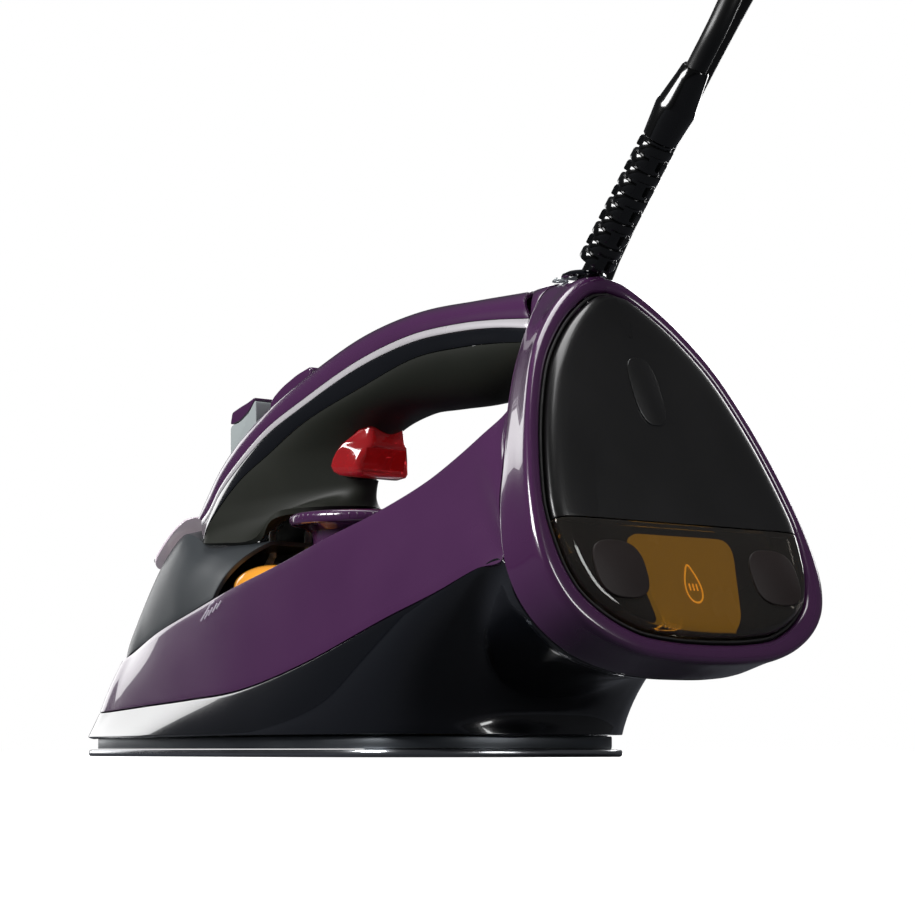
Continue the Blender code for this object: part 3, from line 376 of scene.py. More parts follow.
# the same plastic in a blue black
blackAbs = finish("navy_black_abs_gloss", "07090E", 0.16, grain=(1.6, 0.012), wear=0.03, tint="0A0C12", **gloss)
# the nose cover is the same black plastic with a satin skin, painted a soft grey that stands in for the broad
# reflection of light across its gloss
blackAbsPaintedReflection = finish(
    "graphite_abs_satin", "33373A", 0.42, grain=(1.0, 0.03), wear=0.04, tint="383C3F", IOR=1.5, Coat_Weight=0.25,
    Coat_Roughness=0.2
)
# soft-touch elastomer moulded over the handle: broad dull highlights and a very fine matt grain
softGrip = finish(
    "olive_soft_touch_grip", "1D1F1A", 0.5, grain=(0.45, 0.16), wear=0.05, tint="22241D", IOR=1.5,
    Specular_IOR_Level=0.3
)
# painted plastic trim with fine metal flake
silverTrim = finish(
    "silver_painted_trim", "DAD6DA", 0.28, grain=(0.3, 0.05), wear=0.04, Metallic=0.35, Coat_Weight=0.6
)
# polished steel of the soleplate
soleSteel = finish("polished_steel_soleplate", "C4C6CA", 0.2, grain=(0.8, 0.03), wear=0.07, Metallic=1.0)
# satin die-cast aluminium
castAluminium = finish("die_cast_aluminium", "6E7276", 0.36, grain=(0.5, 0.2), wear=0.08, Metallic=1.0)
# clear smoked polycarbonate over the drawer
smokedClear = finish(
    "smoked_polycarbonate", "8A847C", 0.04, grain=(2.0, 0.01), wear=0.01, Transmission_Weight=0.92, Coat_Weight=0.5,
    IOR=1.3
)
# heel plate: charcoal plastic with a half-gloss skin
charcoalPlate = finish(
    "charcoal_half_gloss", "151515", 0.3, grain=(1.2, 0.012), wear=0.03, tint="181717", Coat_Weight=0.3,
    Coat_Roughness=0.12
)
# amber clear plastic of the lenses, and the deeper amber of the scale collector
# the lenses are lit from within, so they carry a faint glow; the collector has no lamp and is given a painted glow
amberClear = finish(
    "amber_clear_lens", "F0A838", 0.08, grain=(2.0, 0.01), wear=0.01, Transmission_Weight=0.25, IOR=1.5,
    Coat_Weight=0.8,
    Emission_Color=linear("F0A030"), Emission_Strength=0.22,
)
# the scale collector's emission is a painted glow, as no lamp lights it
amberCollectorPaintedGlow = finish(
    "amber_scale_collector", "C48C00", 0.25, grain=(1.0, 0.05), wear=0.05, Coat_Weight=0.4,
    Emission_Color=linear("C08C00"), Emission_Strength=1.0,
)
# orange print on the drawer's amber panel, given a painted glow though no lamp lights it
orangePrintPaintedGlow = finish(
    "orange_print", "F0A020", 0.35, grain=(0.4, 0.03), Emission_Color=linear("F0A020"), Emission_Strength=1.1
)
# lilac clear plastic of the filling door, with a painted glow that brightens its side where little light reaches
lilacClearPaintedGlow = finish(
    "lilac_clear_plastic", "D9CBD6", 0.12, grain=(1.5, 0.01), wear=0.02, IOR=1.45, Coat_Weight=1.0,
    Emission_Color=linear("C8BCC4"), Emission_Strength=0.28,
)
clearLens = finish("clear_lens", "E8EEF0", 0.04, grain=(1.5, 0.01), wear=0.01, Transmission_Weight=0.8, IOR=1.5)
# red clear plastic of the steam trigger, with a faint painted glow though no lamp is inside
redClearPaintedGlow = finish(
    "red_clear_plastic", "D8343A", 0.08, grain=(1.5, 0.01), wear=0.02, Transmission_Weight=0.6, IOR=1.45,
    Coat_Weight=1.0,
    Emission_Color=linear("C02024"), Emission_Strength=0.06,
)
blackRubber = finish("black_rubber", "0B0B0B", 0.5, grain=(0.4, 0.15), wear=0.06)
guardRubber = finish(
    "black_gloss_pvc", "060606", 0.16, grain=(0.8, 0.03), wear=0.04, Coat_Weight=0.6, Coat_Roughness=0.06
)
cordPvc = finish("black_pvc_cord", "101010", 0.38, grain=(0.5, 0.08), wear=0.06)
padRubber = finish("brown_black_pad", "201615", 0.5, grain=(0.5, 0.06), wear=0.05, Specular_IOR_Level=0.3)
paleGrey = finish("pale_grey_abs", "AEB6B6", 0.24, grain=(1.0, 0.03), wear=0.04, Coat_Weight=0.4)
whiteNylon = finish("white_nylon", "D6D2C8", 0.45, grain=(0.6, 0.08), wear=0.05, Subsurface_Weight=0.15)
springSteel = finish("spring_steel", "B4B4B8", 0.25, grain=(0.3, 0.05), wear=0.05, Metallic=1.0)
plugBrass = finish("nickel_plated_brass", "C8B078", 0.22, grain=(0.4, 0.05), wear=0.06, Metallic=1.0)
boardGreen = finish("circuit_board_green", "1E5630", 0.4, grain=(1.2, 0.2), wear=0.08, tint="2A6A3A")
printWhite = finish("white_print", "D8D0DC", 0.4, grain=(0.4, 0.03))
paleFloor = finish("pale_floor", "FFFFFF", 0.7, grain=(2.0, 0.02), Emission_Color=(1, 1, 1, 1), Emission_Strength=1.0)
print("materials ready")

# camera, light and floor

studio = {
    "cameraPlace": (0.7576, -0.6551, 0.0020),
    "cameraTurn": (95.99, 0.0, 47.34),
    "lens": 112.88,
}
eye = bpy.data.cameras.new("camera")
eye.lens = studio["lens"]
eye.sensor_width = 36.0
camera = bpy.data.objects.new("camera", eye)
camera.location = studio["cameraPlace"]
camera.rotation_euler = [math.radians(a) for a in studio["cameraTurn"]]
eye.clip_start, eye.clip_end = 0.01, 50.0
bpy.context.scene.collection.objects.link(camera)
bpy.context.scene.camera = camera
bpy.context.scene.view_settings.view_transform = "Standard"


def softbox(name, place, target, width, height, power):
    lamp = bpy.data.lights.new(name, "AREA")
    lamp.shape = "RECTANGLE"
    lamp.size, lamp.size_y = width, height
    lamp.energy = power
    box = bpy.data.objects.new(name, lamp)
    box.location = place
    box.rotation_euler = (Vector(target) - Vector(place)).to_track_quat("-Z", "Y").to_euler()
    bpy.context.scene.collection.objects.link(box)
    return box


softbox("keySide", (-0.35, -1.4, 0.8), (0.0, 0.0, 0.08), 0.9, 0.5, 27)
softbox("overhead", (0.0, 0.1, 1.4), (0.0, 0.0, 0.08), 1.4, 0.7, 14)
softbox("heelSide", (1.5, 0.45, 0.6), (0.1, 0.0, 0.08), 0.3, 0.8, 7)
softbox("farSide", (-0.6, 1.4, 0.6), (0.0, 0.0, 0.08), 1.2, 0.5, 8)
softbox("noseSide", (-1.6, 0.32, 0.34), (-0.12, 0.0, 0.07), 0.55, 0.8, 2.6)

world = bpy.data.worlds.new("studio")
bpy.context.scene.world = world
world.use_nodes = True
tree = world.node_tree
tree.nodes.clear()
rays = addNode(tree, "ShaderNodeLightPath")
seenWhite = addNode(tree, "ShaderNodeBackground", values={"Color": (1, 1, 1, 1), "Strength": 1.0})
roomGrey = addNode(tree, "ShaderNodeBackground", values={"Color": (0.62, 0.64, 0.7, 1), "Strength": 0.07})
either = addNode(tree, "ShaderNodeMixShader", links={"Fac": rays.outputs["Is Camera Ray"]})
tree.links.new(either.inputs[1], roomGrey.outputs["Background"])
tree.links.new(either.inputs[2], seenWhite.outputs["Background"])
addNode(tree, "ShaderNodeOutputWorld", links={"Surface": either.outputs["Shader"]})

# the floor glows enough to stay white out to the horizon, and throws little light up under the iron
floorTree = paleFloor.node_tree
floorRays = addNode(floorTree, "ShaderNodeLightPath")
dimFloor = addNode(floorTree, "ShaderNodeBsdfDiffuse", values={"Color": (0.06, 0.063, 0.072, 1)})
ownFloor = floorTree.nodes["Principled BSDF"]
seenFloor = addNode(
    floorTree, "ShaderNodeMixShader",
    links={"Fac": floorRays.outputs["Is Camera Ray"], 1: dimFloor.outputs["BSDF"], 2: ownFloor.outputs["BSDF"]},
)
floorTree.links.new(floorTree.nodes["Material Output"].inputs["Surface"], seenFloor.outputs["Shader"])
floor = placed(
    "floor", design((-6000, -6000, -0.3), (6000, -6000, -0.3), (6000, 6000, -0.3), (-6000, 6000, -0.3)),
    [(0, 1, 2, 3)], paleFloor
)

# mains cord: straight out of the guard, over in a hairpin, down the far side, and round into a flat coil

cord = {
    "radius": 3.5, "pitch": 7.06, "coilCentre": (-55.0, 112.0), "innerRadius": 33.0, "outerRadius": 47.0,
    "route": (
        (157.6, 0, 215.7), (166.4, 0, 226.9), (172.4, 5, 243), (170, 23, 262), (155, 40, 262.5),
        (137, 46, 251.4), (105, 45, 210), (69, 41, 150), (50, 58, 105), (32, 76, 60), (18, 80, 28),
        (2, 72, 8), (-12, 66.5, 3.5), (-29, 65, 3.5),
    ),
    "tailAngle": -90.0, "tailHeight": 38.3,
}


def coilPoints():
    # three flat layers, wound in, out and in again, and a rise into the plug's tail
    centre = Vector((*cord["coilCentre"], 0))
    inner, outer, pitch = cord["innerRadius"], cord["outerRadius"], cord["pitch"]
    turns = (outer - inner) / 7.0
    points = []
    angle = -math.pi / 2
    step = math.radians(9)
    climb = math.radians(99)
    height = cord["radius"]
    radius = outer
    for layer in range(3):
        goal = inner if radius > (inner + outer) / 2 else outer
        count = round(turns * 2 * math.pi / step)
        for i in range(count):
            share = i / count
            r = radius + (goal - radius) * share
            points.append(centre + Vector((r * math.cos(angle), r * math.sin(angle), height)))
            angle -= step
        radius = goal
        if layer < 2:
            count = round(climb / step)
            for i in range(count):
                share = i / count
                z = height + pitch * (3 * share**2 - 2 * share**3)
                points.append(centre + Vector((radius * math.cos(angle), radius * math.sin(angle), z)))
                angle -= step
            height += pitch
    # the rise: on round until the cord meets the plug's tail over the near side of the coil
    tailAngle = math.radians(cord["tailAngle"])
    goalAngle = tailAngle - 2 * math.pi * math.ceil((tailAngle - angle + math.radians(100)) / (2 * math.pi))
    count = max(round((angle - goalAngle) / step), 8)
    tailRadius, tailHeight = (inner + outer) / 2, cord["tailHeight"]
    start = angle
    for i in range(count + 1):
        share = i / count
        a = start + (goalAngle - start) * share
        ease = 3 * share**2 - 2 * share**3
        r = radius + (tailRadius - radius) * ease
        z = height + (tailHeight - height) * ease
        points.append(centre + Vector((r * math.cos(a), r * math.sin(a), z)))
    return points


routePoints = along(design(*cord["route"]), 6, False)
line = [p for p in routePoints if p.x > -22 or p.z > 20] + coilPoints()
spine = bpy.data.curves.new("mainsCord", "CURVE")
spine.dimensions = "3D"
spine.bevel_depth = cord["radius"] * mm
spine.bevel_resolution = 5
spine.use_fill_caps = True
spline = spine.splines.new("POLY")
spline.points.add(len(line) - 1)
for node, point in zip(spline.points, line):
    node.co = (*(point * mm), 1)
spline.use_smooth = True
mainsCord = bpy.data.objects.new("mainsCord", spine)
bpy.context.scene.collection.objects.link(mainsCord)
spine.materials.append(cordPvc)
fitted(mainsCord, "rubber", "housing", "cord_tube", "cord_coil")

# soleplate and heater

sole = {
    "nose": 164.0, "heel": 92.0, "widest": 45.0, "half": 57.0, "thickness": 2.5, "edge": 0.7,
    "skirtInset": 3.5, "skirtFoot": 2.85, "skirtTop": 6.9,
}


def soleHalf(x):
    if x < sole["widest"]:
        share = (sole["widest"] - x) / (sole["widest"] + sole["nose"])
        return sole["half"] * (1 - min(share, 1) ** 1.45) ** 0.78
    share = (x - sole["widest"]) / (sole["heel"] - sole["widest"])
    return sole["half"] * (1 - min(share, 1) ** 3.2) ** 0.5


def soleOutline(inset, steps=110):
    half = []
    front = sole["widest"] + sole["nose"]
    for i in range(steps + 1):
        x = -sole["nose"] + front * (i / steps) ** 2.0
        half.append(Vector((x, soleHalf(x))))
    for i in range(1, steps // 2 + 1):
        x = sole["widest"] + (sole["heel"] - sole["widest"]) * math.sin(i / (steps // 2) * math.pi / 2)
        half.append(Vector((x, soleHalf(x))))
    if inset:
        moved = []
        for i in range(1, len(half) - 1):
            run = (half[i + 1] - half[i - 1]).normalized()
            moved.append(half[i] + Vector((run.y, -run.x)) * inset)
        moved = [p for p in moved if p.y > 0.4 and p.x < sole["heel"] - inset]
        first = moved[0]
        nose = Vector((first.x - first.y * 0.45, 0.0))
        half = [nose] + moved + [Vector((sole["heel"] - inset, 0.0))]
    half[0].y = half[-1].y = 0.0
    return half + [Vector((p.x, -p.y)) for p in reversed(half[1:-1])]


# rows of steam holes that follow the sole's edge, one inside the other and half a pitch apart
holes = {"pitch": 15.5, "radius": 1.5, "rows": ((10.0, -122.0, 44.0), (17.5, -104.0, 28.0)), "nose": (-140.0, -104.0)}
tree, given = startTree("steamHoles", Rows=("Object", None), Pitch=("Float", 0.0155), Radius=("Float", 0.0015))
rows = addNode(tree, "GeometryNodeObjectInfo", links={"Object": given["Rows"]})
path = addNode(tree, "GeometryNodeMeshToCurve", links={"Mesh": rows.outputs["Geometry"]})
spaced = addNode(
    tree, "GeometryNodeResampleCurve", {"mode": "LENGTH"},
    links={"Curve": path.outputs["Curve"], "Length": given["Pitch"]}
)
drill = addNode(
    tree, "GeometryNodeMeshCylinder", values={"Vertices": 20, "Depth": 0.012}, links={"Radius": given["Radius"]}
)
drills = addNode(
    tree, "GeometryNodeInstanceOnPoints", links={"Points": spaced.outputs["Curve"], "Instance": drill.outputs["Mesh"]}
)
solid = addNode(tree, "GeometryNodeRealizeInstances", links={"Geometry": drills.outputs["Instances"]})
cut = addNode(
    tree, "GeometryNodeMeshBoolean", {"operation": "DIFFERENCE", "solver": "MANIFOLD"},
    links={"Mesh 1": given["Geometry"], "Mesh 2": solid.outputs["Geometry"]},
)
endTree(tree, given, cut.outputs["Mesh"])
holeTree = tree


def holeRow(inset, start, end, side, steps=60):
    made = []
    for i in range(steps + 1):
        x = start + (end - start) * i / steps
        made.append(at(x, side * (soleHalf(x) - inset), 1.2))
    return made


e = sole["edge"]
rims = [
    (e * 1.2, 0.0), (e * 0.35, e * 0.3), (0.0, e), (0.0, sole["thickness"] - e),
    (e * 0.35, sole["thickness"] - e * 0.3), (e * 1.2, sole["thickness"])
]
outer = soleOutline(0.0)


def shrunk(outline, inset, z):
    ring = []
    count = len(outline)
    for i, p in enumerate(outline):
        run = (outline[(i + 1) % count] - outline[i - 1]).normalized()
        ring.append(Vector((p.x + run.y * inset, p.y - run.x * inset, z)))
    return ring


soleplate = body("soleplate.steel", [shrunk(outer, inset, z) for inset, z in rims], soleSteel)
holePaths = [holeRow(*row, side) for row in holes["rows"] for side in (1, -1)]
holePaths.append([at(x, 0, 1.2) for x in holes["nose"]])
rowsPiece = pathPiece("holeRows", *holePaths)
soleplate = grown(
    soleplate, holeTree, soleSteel, Rows=rowsPiece, Pitch=holes["pitch"] * mm, Radius=holes["radius"] * mm
)
tidyTools(rowsPiece)
fitted(soleplate, "steel", "housing", "soleplate")

skirt = soleOutline(sole["skirtInset"])
skirtRims = [
    (0.5, sole["skirtFoot"]), (0.0, sole["skirtFoot"] + 0.5), (0.0, sole["skirtTop"] - 0.5), (0.5, sole["skirtTop"])
]
rings = [[Vector((p.x * (1 - i * 0.002), p.y * (1 - i * 0.006), z)) for p in skirt] for i, z in skirtRims]
heater = body("heater.casting", rings, castAluminium)
fitted(heater, "cast", "housing", "heater_body")
print("sole ready")

# thin printed or moulded lines: a path drawn round with a small bead

tree, given = startTree("printedLines", Radius=("Float", 0.0002))
path = addNode(tree, "GeometryNodeMeshToCurve", links={"Mesh": given["Geometry"]})
bead = addNode(tree, "GeometryNodeCurvePrimitiveCircle", values={"Resolution": 6}, links={"Radius": given["Radius"]})
drawn = addNode(
    tree, "GeometryNodeCurveToMesh", values={"Fill Caps": True},
    links={"Curve": path.outputs["Curve"], "Profile Curve": bead.outputs["Curve"]},
)
endTree(tree, given, drawn.outputs["Mesh"])
lineTree = tree

# outer shells

fine = 7
seam = {"gap": 0.28, "collarDepth": 18.0, "lean": math.radians(20.85), "heelX": 162.0, "heelZ": 35.0}

footRing = design(
    (-162.5, 0, 7.3), (-158.5, 5, 7.3), (-142, 13, 7.3), (-100, 29, 7.3), (-58, 41, 7.3), (-12, 51, 7.3),
    (30, 56.5, 7.3), (58, 56, 7.3), (74, 50.5, 7.3), (83, 40, 7.3), (87.5, 31, 7.3), (89.5, 25, 7.3),
    (90.7, 19.5, 7.3), (91.5, 14, 7.3), (91.9, 9, 7.3), (92, 4.5, 7.3), (92, 0, 7.3),
)
waist = design(
    (-159, 0, 12), (-155, 4.8, 12), (-139, 12, 12), (-98, 26.5, 12), (-57, 39, 13), (-11.5, 50, 14),
    (32, 57, 18), (64, 58, 24), (82, 56, 29), (91, 50, 31), (95, 42, 30), (97, 35, 28), (98, 28, 26),
    (98.5, 20, 24), (99, 13, 23), (99, 6, 22.5), (99, 0, 22.5),
)
bandLow = design(
    (-155.6, 0, 16.5), (-151.5, 4.6, 16.6), (-135, 10.8, 17), (-96, 23, 18.5), (-56, 35, 20),
    (-10.6, 47, 22.7), (34, 55, 31), (76.5, 59, 43.4), (102.7, 60.6, 50.7), (122, 61.3, 57),
)
bandHigh = design(
    (-141, 0, 34.5), (-136.5, 5.5, 35.6), (-122, 10.5, 38.8), (-96, 19, 45.2), (-62, 28, 52),
    (-28, 36.5, 58.7), (6, 43, 65.3), (32, 46.8, 71.5), (60, 47.8, 78.8), (82, 46.2, 87.2),
    (96, 45, 94.6), (105, 42.5, 101.3), (108, 37, 107), (107.5, 31, 113), (105.8, 26, 119.5),
    (103.2, 21.5, 130.5), (100.2, 17.5, 139), (94.5, 11, 148.8), (87, 0, 153.3),
)
# the heel's outlines as (along the slope, half width): its front edge and its back edge
collarFront = [
    (-4.9, 0), (-4.5, 15), (-2.5, 30), (3, 45), (11.5, 55), (21, 60), (33, 61.2), (50, 57), (66, 50),
    (84, 42), (100, 33.5), (114, 24), (124, 16), (131, 8.5), (134.7, 0),
]
collarBack = [
    (-6.5, 0), (-6, 16), (-3.8, 33), (2.5, 48), (11, 58), (21, 62.6), (32, 63.4), (46, 61.5), (65, 56.5),
    (82, 50), (98, 41.5), (112, 29.5), (121, 18.5), (126.5, 9), (128.4, 0),
]
cornerStation = 6


def heelPoint(run, y, depth):
    lean = seam["lean"]
    x = seam["heelX"] - run * math.sin(lean) - depth * math.cos(lean)
    return Vector((x, y, seam["heelZ"] + run * math.cos(lean) - depth * math.sin(lean)))


seamLine = [heelPoint(s, y, seam["collarDepth"] + 0.35) for s, y in collarFront]
lowerTop = bandLow + list(reversed(seamLine[: cornerStation + 1]))
rows = []
for low, mid, high in zip(along(footRing, fine), along(waist, fine), along(lowerTop, fine)):
    high = short(high, mid, seam["gap"])
    rows.append([bend(low, mid * 2 - (low + high) / 2, high, v / 16) for v in range(17)])
lowerHousing = skin("lowerHousing", wholeLoop(rows), blackAbs, fromMiddle, wrapRows=True)
fitted(lowerHousing, "black_shell", "housing", "lower_housing")

sideLow = bandLow + seamLine[cornerStation:]
rows = []
for low, high in zip(along(sideLow, fine), along(bandHigh, fine)):
    mid = (low + high) / 2
    bulge = Vector((0, 1.2, 0)) * min(mid.y / 3, 1.0)
    low = short(low, high, seam["gap"])
    rows.append([bend(low, mid + bulge, high, v / 12) for v in range(13)])
sideShell = skin("sideShell", wholeLoop(rows), purpleAbs, fromMiddle, wrapRows=True, edge=0.35)
fitted(sideShell, "purple_shell", "housing", "side_shell")

# water level marks: one long line with a foot, and four short ones beside it, on the band's skin on both sides
level = {
    "long": ((-53.4, 47.9), (-47.2, 53.4), (-43.9, 54.3)),
    "ticks": (
        ((-50.3, 48.5), (-47.4, 51.4)), ((-47.1, 49.6), (-44.5, 52.2)), ((-43.9, 50.6), (-41.0, 53.5)),
        ((-40.7, 51.7), (-37.8, 54.3)),
    ),
    "bead": 0.32,
}


def onBand(x, z, side):
    start = Vector((x, 150 * side, z)) * mm
    found = sideShell.ray_cast(start, Vector((0, -side, 0)))
    return found[1] / mm


def marked(points, side, steps=6):
    made = []
    for (x0, z0), (x1, z1) in zip(points, points[1:]):
        made += [onBand(x0 + (x1 - x0) * i / steps, z0 + (z1 - z0) * i / steps, side) for i in range(steps + 1)]
    return made


bpy.context.view_layer.update()
marks = pathPiece(
    "levelMarks", *[marked(line, side) for side in (1, -1) for line in (level["long"], *level["ticks"])]
)
levelMarks = grown(marks, lineTree, printWhite, Radius=level["bead"] * mm)
fitted(levelMarks, "trim", "housing")


def heelHalf(share, fineSteps=8):
    count = (len(collarBack) - 1) * fineSteps
    made = []
    for i in range(count + 1):
        back = guideAt([Vector((s, y, 0)) for s, y in collarBack], i / fineSteps, False)
        front = guideAt([Vector((s, y, 0)) for s, y in collarFront], i / fineSteps, False)
        made.append(back.lerp(front, share))
    return made


face = {
    "split": 38.5, "gap": 0.25, "corner": 2.6,
    # (depth, inset): the rim rolls over a wide bright radius into a nearly flat face
    "section": [
        (3.6, 7.55), (0.6, 7.5), (-0.4, 7.6), (-1.3, 8.1), (-2.0, 9.0), (-2.5, 10.3), (-2.8, 12.0), (-3.0, 14.5),
        (-3.12, 18.0), (-3.2, 24.0)
    ],
}
heelHalves = {}


def heelRing(depth, inset, share=0.0, low=-99.0, high=999.0):
    # a ring round the heel at a depth behind its face, moved in by inset and cut off below low and above high
    if share not in heelHalves:
        heelHalves[share] = heelHalf(share)
    half = heelHalves[share]
    ring = []
    for i, point in enumerate(half):
        before = half[i - 1] if i else mirrored(half[1])
        after = half[i + 1] if i < len(half) - 1 else mirrored(half[-2])
        run = (after - before).normalized()
        # the lip is broader round the two lower corners
        corner = max(1 - ((point.x - 16) / 30) ** 2, 0.0) ** 1.5 * face["corner"] if inset > 1 else 0.0
        moved = point + Vector((run.y, -run.x, 0)) * (inset + corner * min((inset - 1) / 3, 1.0))
        ring.append(Vector((moved.x, max(moved.y, 0.0), 0)))
    ring[0].y = ring[-1].y = 0.0
    # where the two sides meet at the top, the rest of the ring stays at that point
    met = next(i for i in range(len(ring) // 2, len(ring)) if ring[i].y <= 0)
    ring[met + 1 :] = [ring[met].copy() for _ in ring[met + 1 :]]
    crossings = {}
    for edge in (low, high):
        for one, two in zip(ring, ring[1:]):
            if (one.x - edge) * (two.x - edge) < 0:
                crossings[edge] = one.lerp(two, (edge - one.x) / (two.x - one.x)).y
    kept = []
    for i, point in enumerate(ring):
        edge = min(max(point.x, low), high)
        if edge == point.x:
            kept.append(point)
            continue
        side = crossings.get(edge, point.y)
        # the cut edge gets its own points, spread evenly to the middle
        beyond = [p for p in ring if (p.x < low if edge == low else p.x > high)]
        rank = beyond.index(point)
        spread = rank / max(len(beyond) - 1, 1)
        kept.append(Vector((edge, side * (spread if edge == low else 1 - spread), 0)))
    both = kept + [Vector((p.x, -p.y, 0)) for p in reversed(kept[1:-1])]
    return [heelPoint(p.x, p.y, depth) for p in both]


collar = {
    # (depth, inset, how far towards the front outline), outside then round the lip and back along the inside
    "section": [
        (18.0, 0.3, 1.0), (17.75, 0.06, 0.986), (17.2, 0.0, 0.955), (14, 0.1, 0.78), (10, 0.25, 0.556),
        (6.5, 0.3, 0.361),
        (3.8, 0.12, 0.211), (2.2, 0.15, 0.122), (1.2, 0.45, 0.067), (0.5, 1.0, 0.028), (0.1, 1.8, 0.006),
        (0.0, 2.8, 0.0),
        (0.05, 3.8, 0.0), (0.3, 4.7, 0.0), (0.8, 5.25, 0.0), (1.5, 5.5, 0.0), (5.5, 5.5, 0.0), (5.5, 2.4, 0.306),
        (14.6, 1.8, 0.811), (17.4, 1.2, 0.967),
    ],
}
neck = {"foot": Vector((109.5, 0, 154.8)), "run": Vector((0.62, 0, 0.785)).normalized()}
neckTool = cutter("neckTool", 3.7, 40, neck["foot"], neck["run"])
sections = [heelRing(depth, inset, share) for depth, inset, share in collar["section"]]
heelCollar = body(
    "heelCollar", [list(column) for column in zip(*sections)], purpleAbs, capped=False, sharp=50, cuts=[neckTool]
)
fitted(heelCollar, "purple_shell", "housing", "heel_collar")

sections = [
    heelRing(depth, inset) for depth,
    inset in ((0.9, 6.2), (0.75, 6.5), (0.9, 6.9), (1.2, 7.1), (4.3, 7.1), (4.3, 6.0), (1.2, 6.0))
]
heelGasket = body("heelGasket", [list(column) for column in zip(*sections)], blackRubber, capped=False, sharp=60)
fitted(heelGasket, "rubber", "housing", "heel_gasket")
print("shells ready")

# heel plate and the scale drawer's front

plateRings = [heelRing(depth, inset, low=face["split"] + face["gap"]) for depth, inset in face["section"]]
heelPlate = body("heelPlate", plateRings, charcoalPlate, edge=0.35, sharp=40)
fitted(heelPlate, "charcoal", "housing", "heel_plate")
drawerRings = [heelRing(depth, inset, high=face["split"] - face["gap"]) for depth, inset in face["section"]]
drawerFront = body("drawerFront", drawerRings, smokedClear, edge=0.35, sharp=40)
fitted(drawerFront, "smoked", "drawer", "drawer_front")
tidyTools(neckTool)


def heelFrame(run, y, depth):
    x = Vector((-math.sin(seam["lean"]), 0, math.cos(seam["lean"])))
    z = Vector((math.cos(seam["lean"]), 0, math.sin(seam["lean"])))
    axes = Matrix((x, z.cross(x), z)).transposed().to_4x4()
    return Matrix.Translation(heelPoint(run, y, depth)) @ axes


def pad(name, node, run, y, size, power, bodyName, material):
    # a flat rubber pad with a rounded rim: power 1 gives an oval and less gives a rounded square
    place = heelFrame(run, y, -3.2)
    rings = []
    for inset, height in ((0.0, -0.6), (0.0, 0.15), (0.15, 0.35), (0.5, 0.45)):
        ring = []
        for i in range(64):
            angle = 2 * math.pi * i / 64
            cos, sin = math.cos(angle), math.sin(angle)
            u = (size[0] / 2 - inset) * math.copysign(abs(cos) ** power, cos)
            v = (size[1] / 2 - inset) * math.copysign(abs(sin) ** power, sin)
            ring.append(place @ Vector((u, v, height)))
        rings.append(ring)
    made = body(name, rings, material)
    fitted(made, "rubber", bodyName, node)


pad("padTop", "heel_foot_top", 84.5, 0.0, (24, 13), 0.7, "housing", charcoalPlate)
pad("padLeft", "drawer_foot_left", 21.8, 35.0, (19, 22), 0.72, "drawer", padRubber)
pad("padRight", "drawer_foot_right", 21.8, -35.0, (19, 22), 0.72, "drawer", padRubber)
# the scale collector shows through the smoked window as a rounded amber panel
collector = {"half": 24.5, "low": 5.5, "high": 36.0, "depth": 3.75, "radius": 7.0}
outline = rounded(
    [
        (collector["low"], -collector["half"] + 7), (collector["high"], -collector["half"]),
        (collector["high"], collector["half"]), (collector["low"], collector["half"] - 7)
    ],
    collector["radius"], 8,
)
rings = [[heelPoint(u, v, collector["depth"] + d) for u, v in outline] for d in (0.0, 1.2)]
scaleCollector = body("scaleCollector", rings, amberCollectorPaintedGlow)
fitted(scaleCollector, "amber", "drawer", "scale_collector")
# a plain drop outline with three short lines in it, on the amber panel
icon = {"run": 19.5, "size": 5.6, "bead": 0.32, "proud": 0.15}


def onPanel(u, v):
    return heelPoint(icon["run"] + u, v, collector["depth"] - icon["proud"])


drop = []
for i in range(33):
    angle = 2 * math.pi * i / 32
    tip = math.cos(angle) + 0.25 * max(math.cos(angle), 0) ** 6
    drop.append(onPanel(icon["size"] * tip, 0.62 * icon["size"] * math.sin(angle) * (1 - 0.25 * math.cos(angle))))
rake = [[onPanel(u, v) for u in (-1.6, 0.6)] for v in (-1.6, 0.0, 1.6)]
panelIcon = grown(pathPiece("panelIcon", drop, *rake), lineTree, orangePrintPaintedGlow, Radius=icon["bead"] * mm)
fitted(panelIcon, "amber", "drawer")
print("heel ready")

# deck behind the nose cover, and the nose cover itself

deckMiddle = design(
    (-58, 0, 50), (-28, 0, 56.5), (6, 0, 60), (32, 0, 64), (60, 0, 74), (80, 0, 84), (93, 0, 92.5),
    (100.5, 0, 100), (103, 0, 106), (102.8, 0, 112.5), (100.8, 0, 118),
)
deck = {"inset": 2.1, "shares": [1.0, 0.97, 0.93, 0.87, 0.8, 0.7, 0.58, 0.45, 0.3, 0.15, 0.0]}
rows = []
for edge, mid in zip(along(bandHigh[4:15], fine, False), along(deckMiddle, fine, False)):
    rim = Vector((edge.x - (0.8 if edge.z > 95 else 0), edge.y - deck["inset"], edge.z - 1.2))
    row = []
    for share in deck["shares"]:
        row.append(Vector((mid.x + (rim.x - mid.x) * share**2, rim.y * share, mid.z + (rim.z - mid.z) * share**3)))
    rows.append(across(row))
well = cutter("well", 5.3, 60, at(0, 0, 45))
hose = cutter("hosePassage", 2.8, 12, at(-44, 9, 54))
tankRoof = skin("tankRoof", rows, blackAbs, upward, wall=1.6, cuts=[well, hose])
tidyTools(well, hose)
fitted(tankRoof, "black_shell", "housing", "tank_roof")

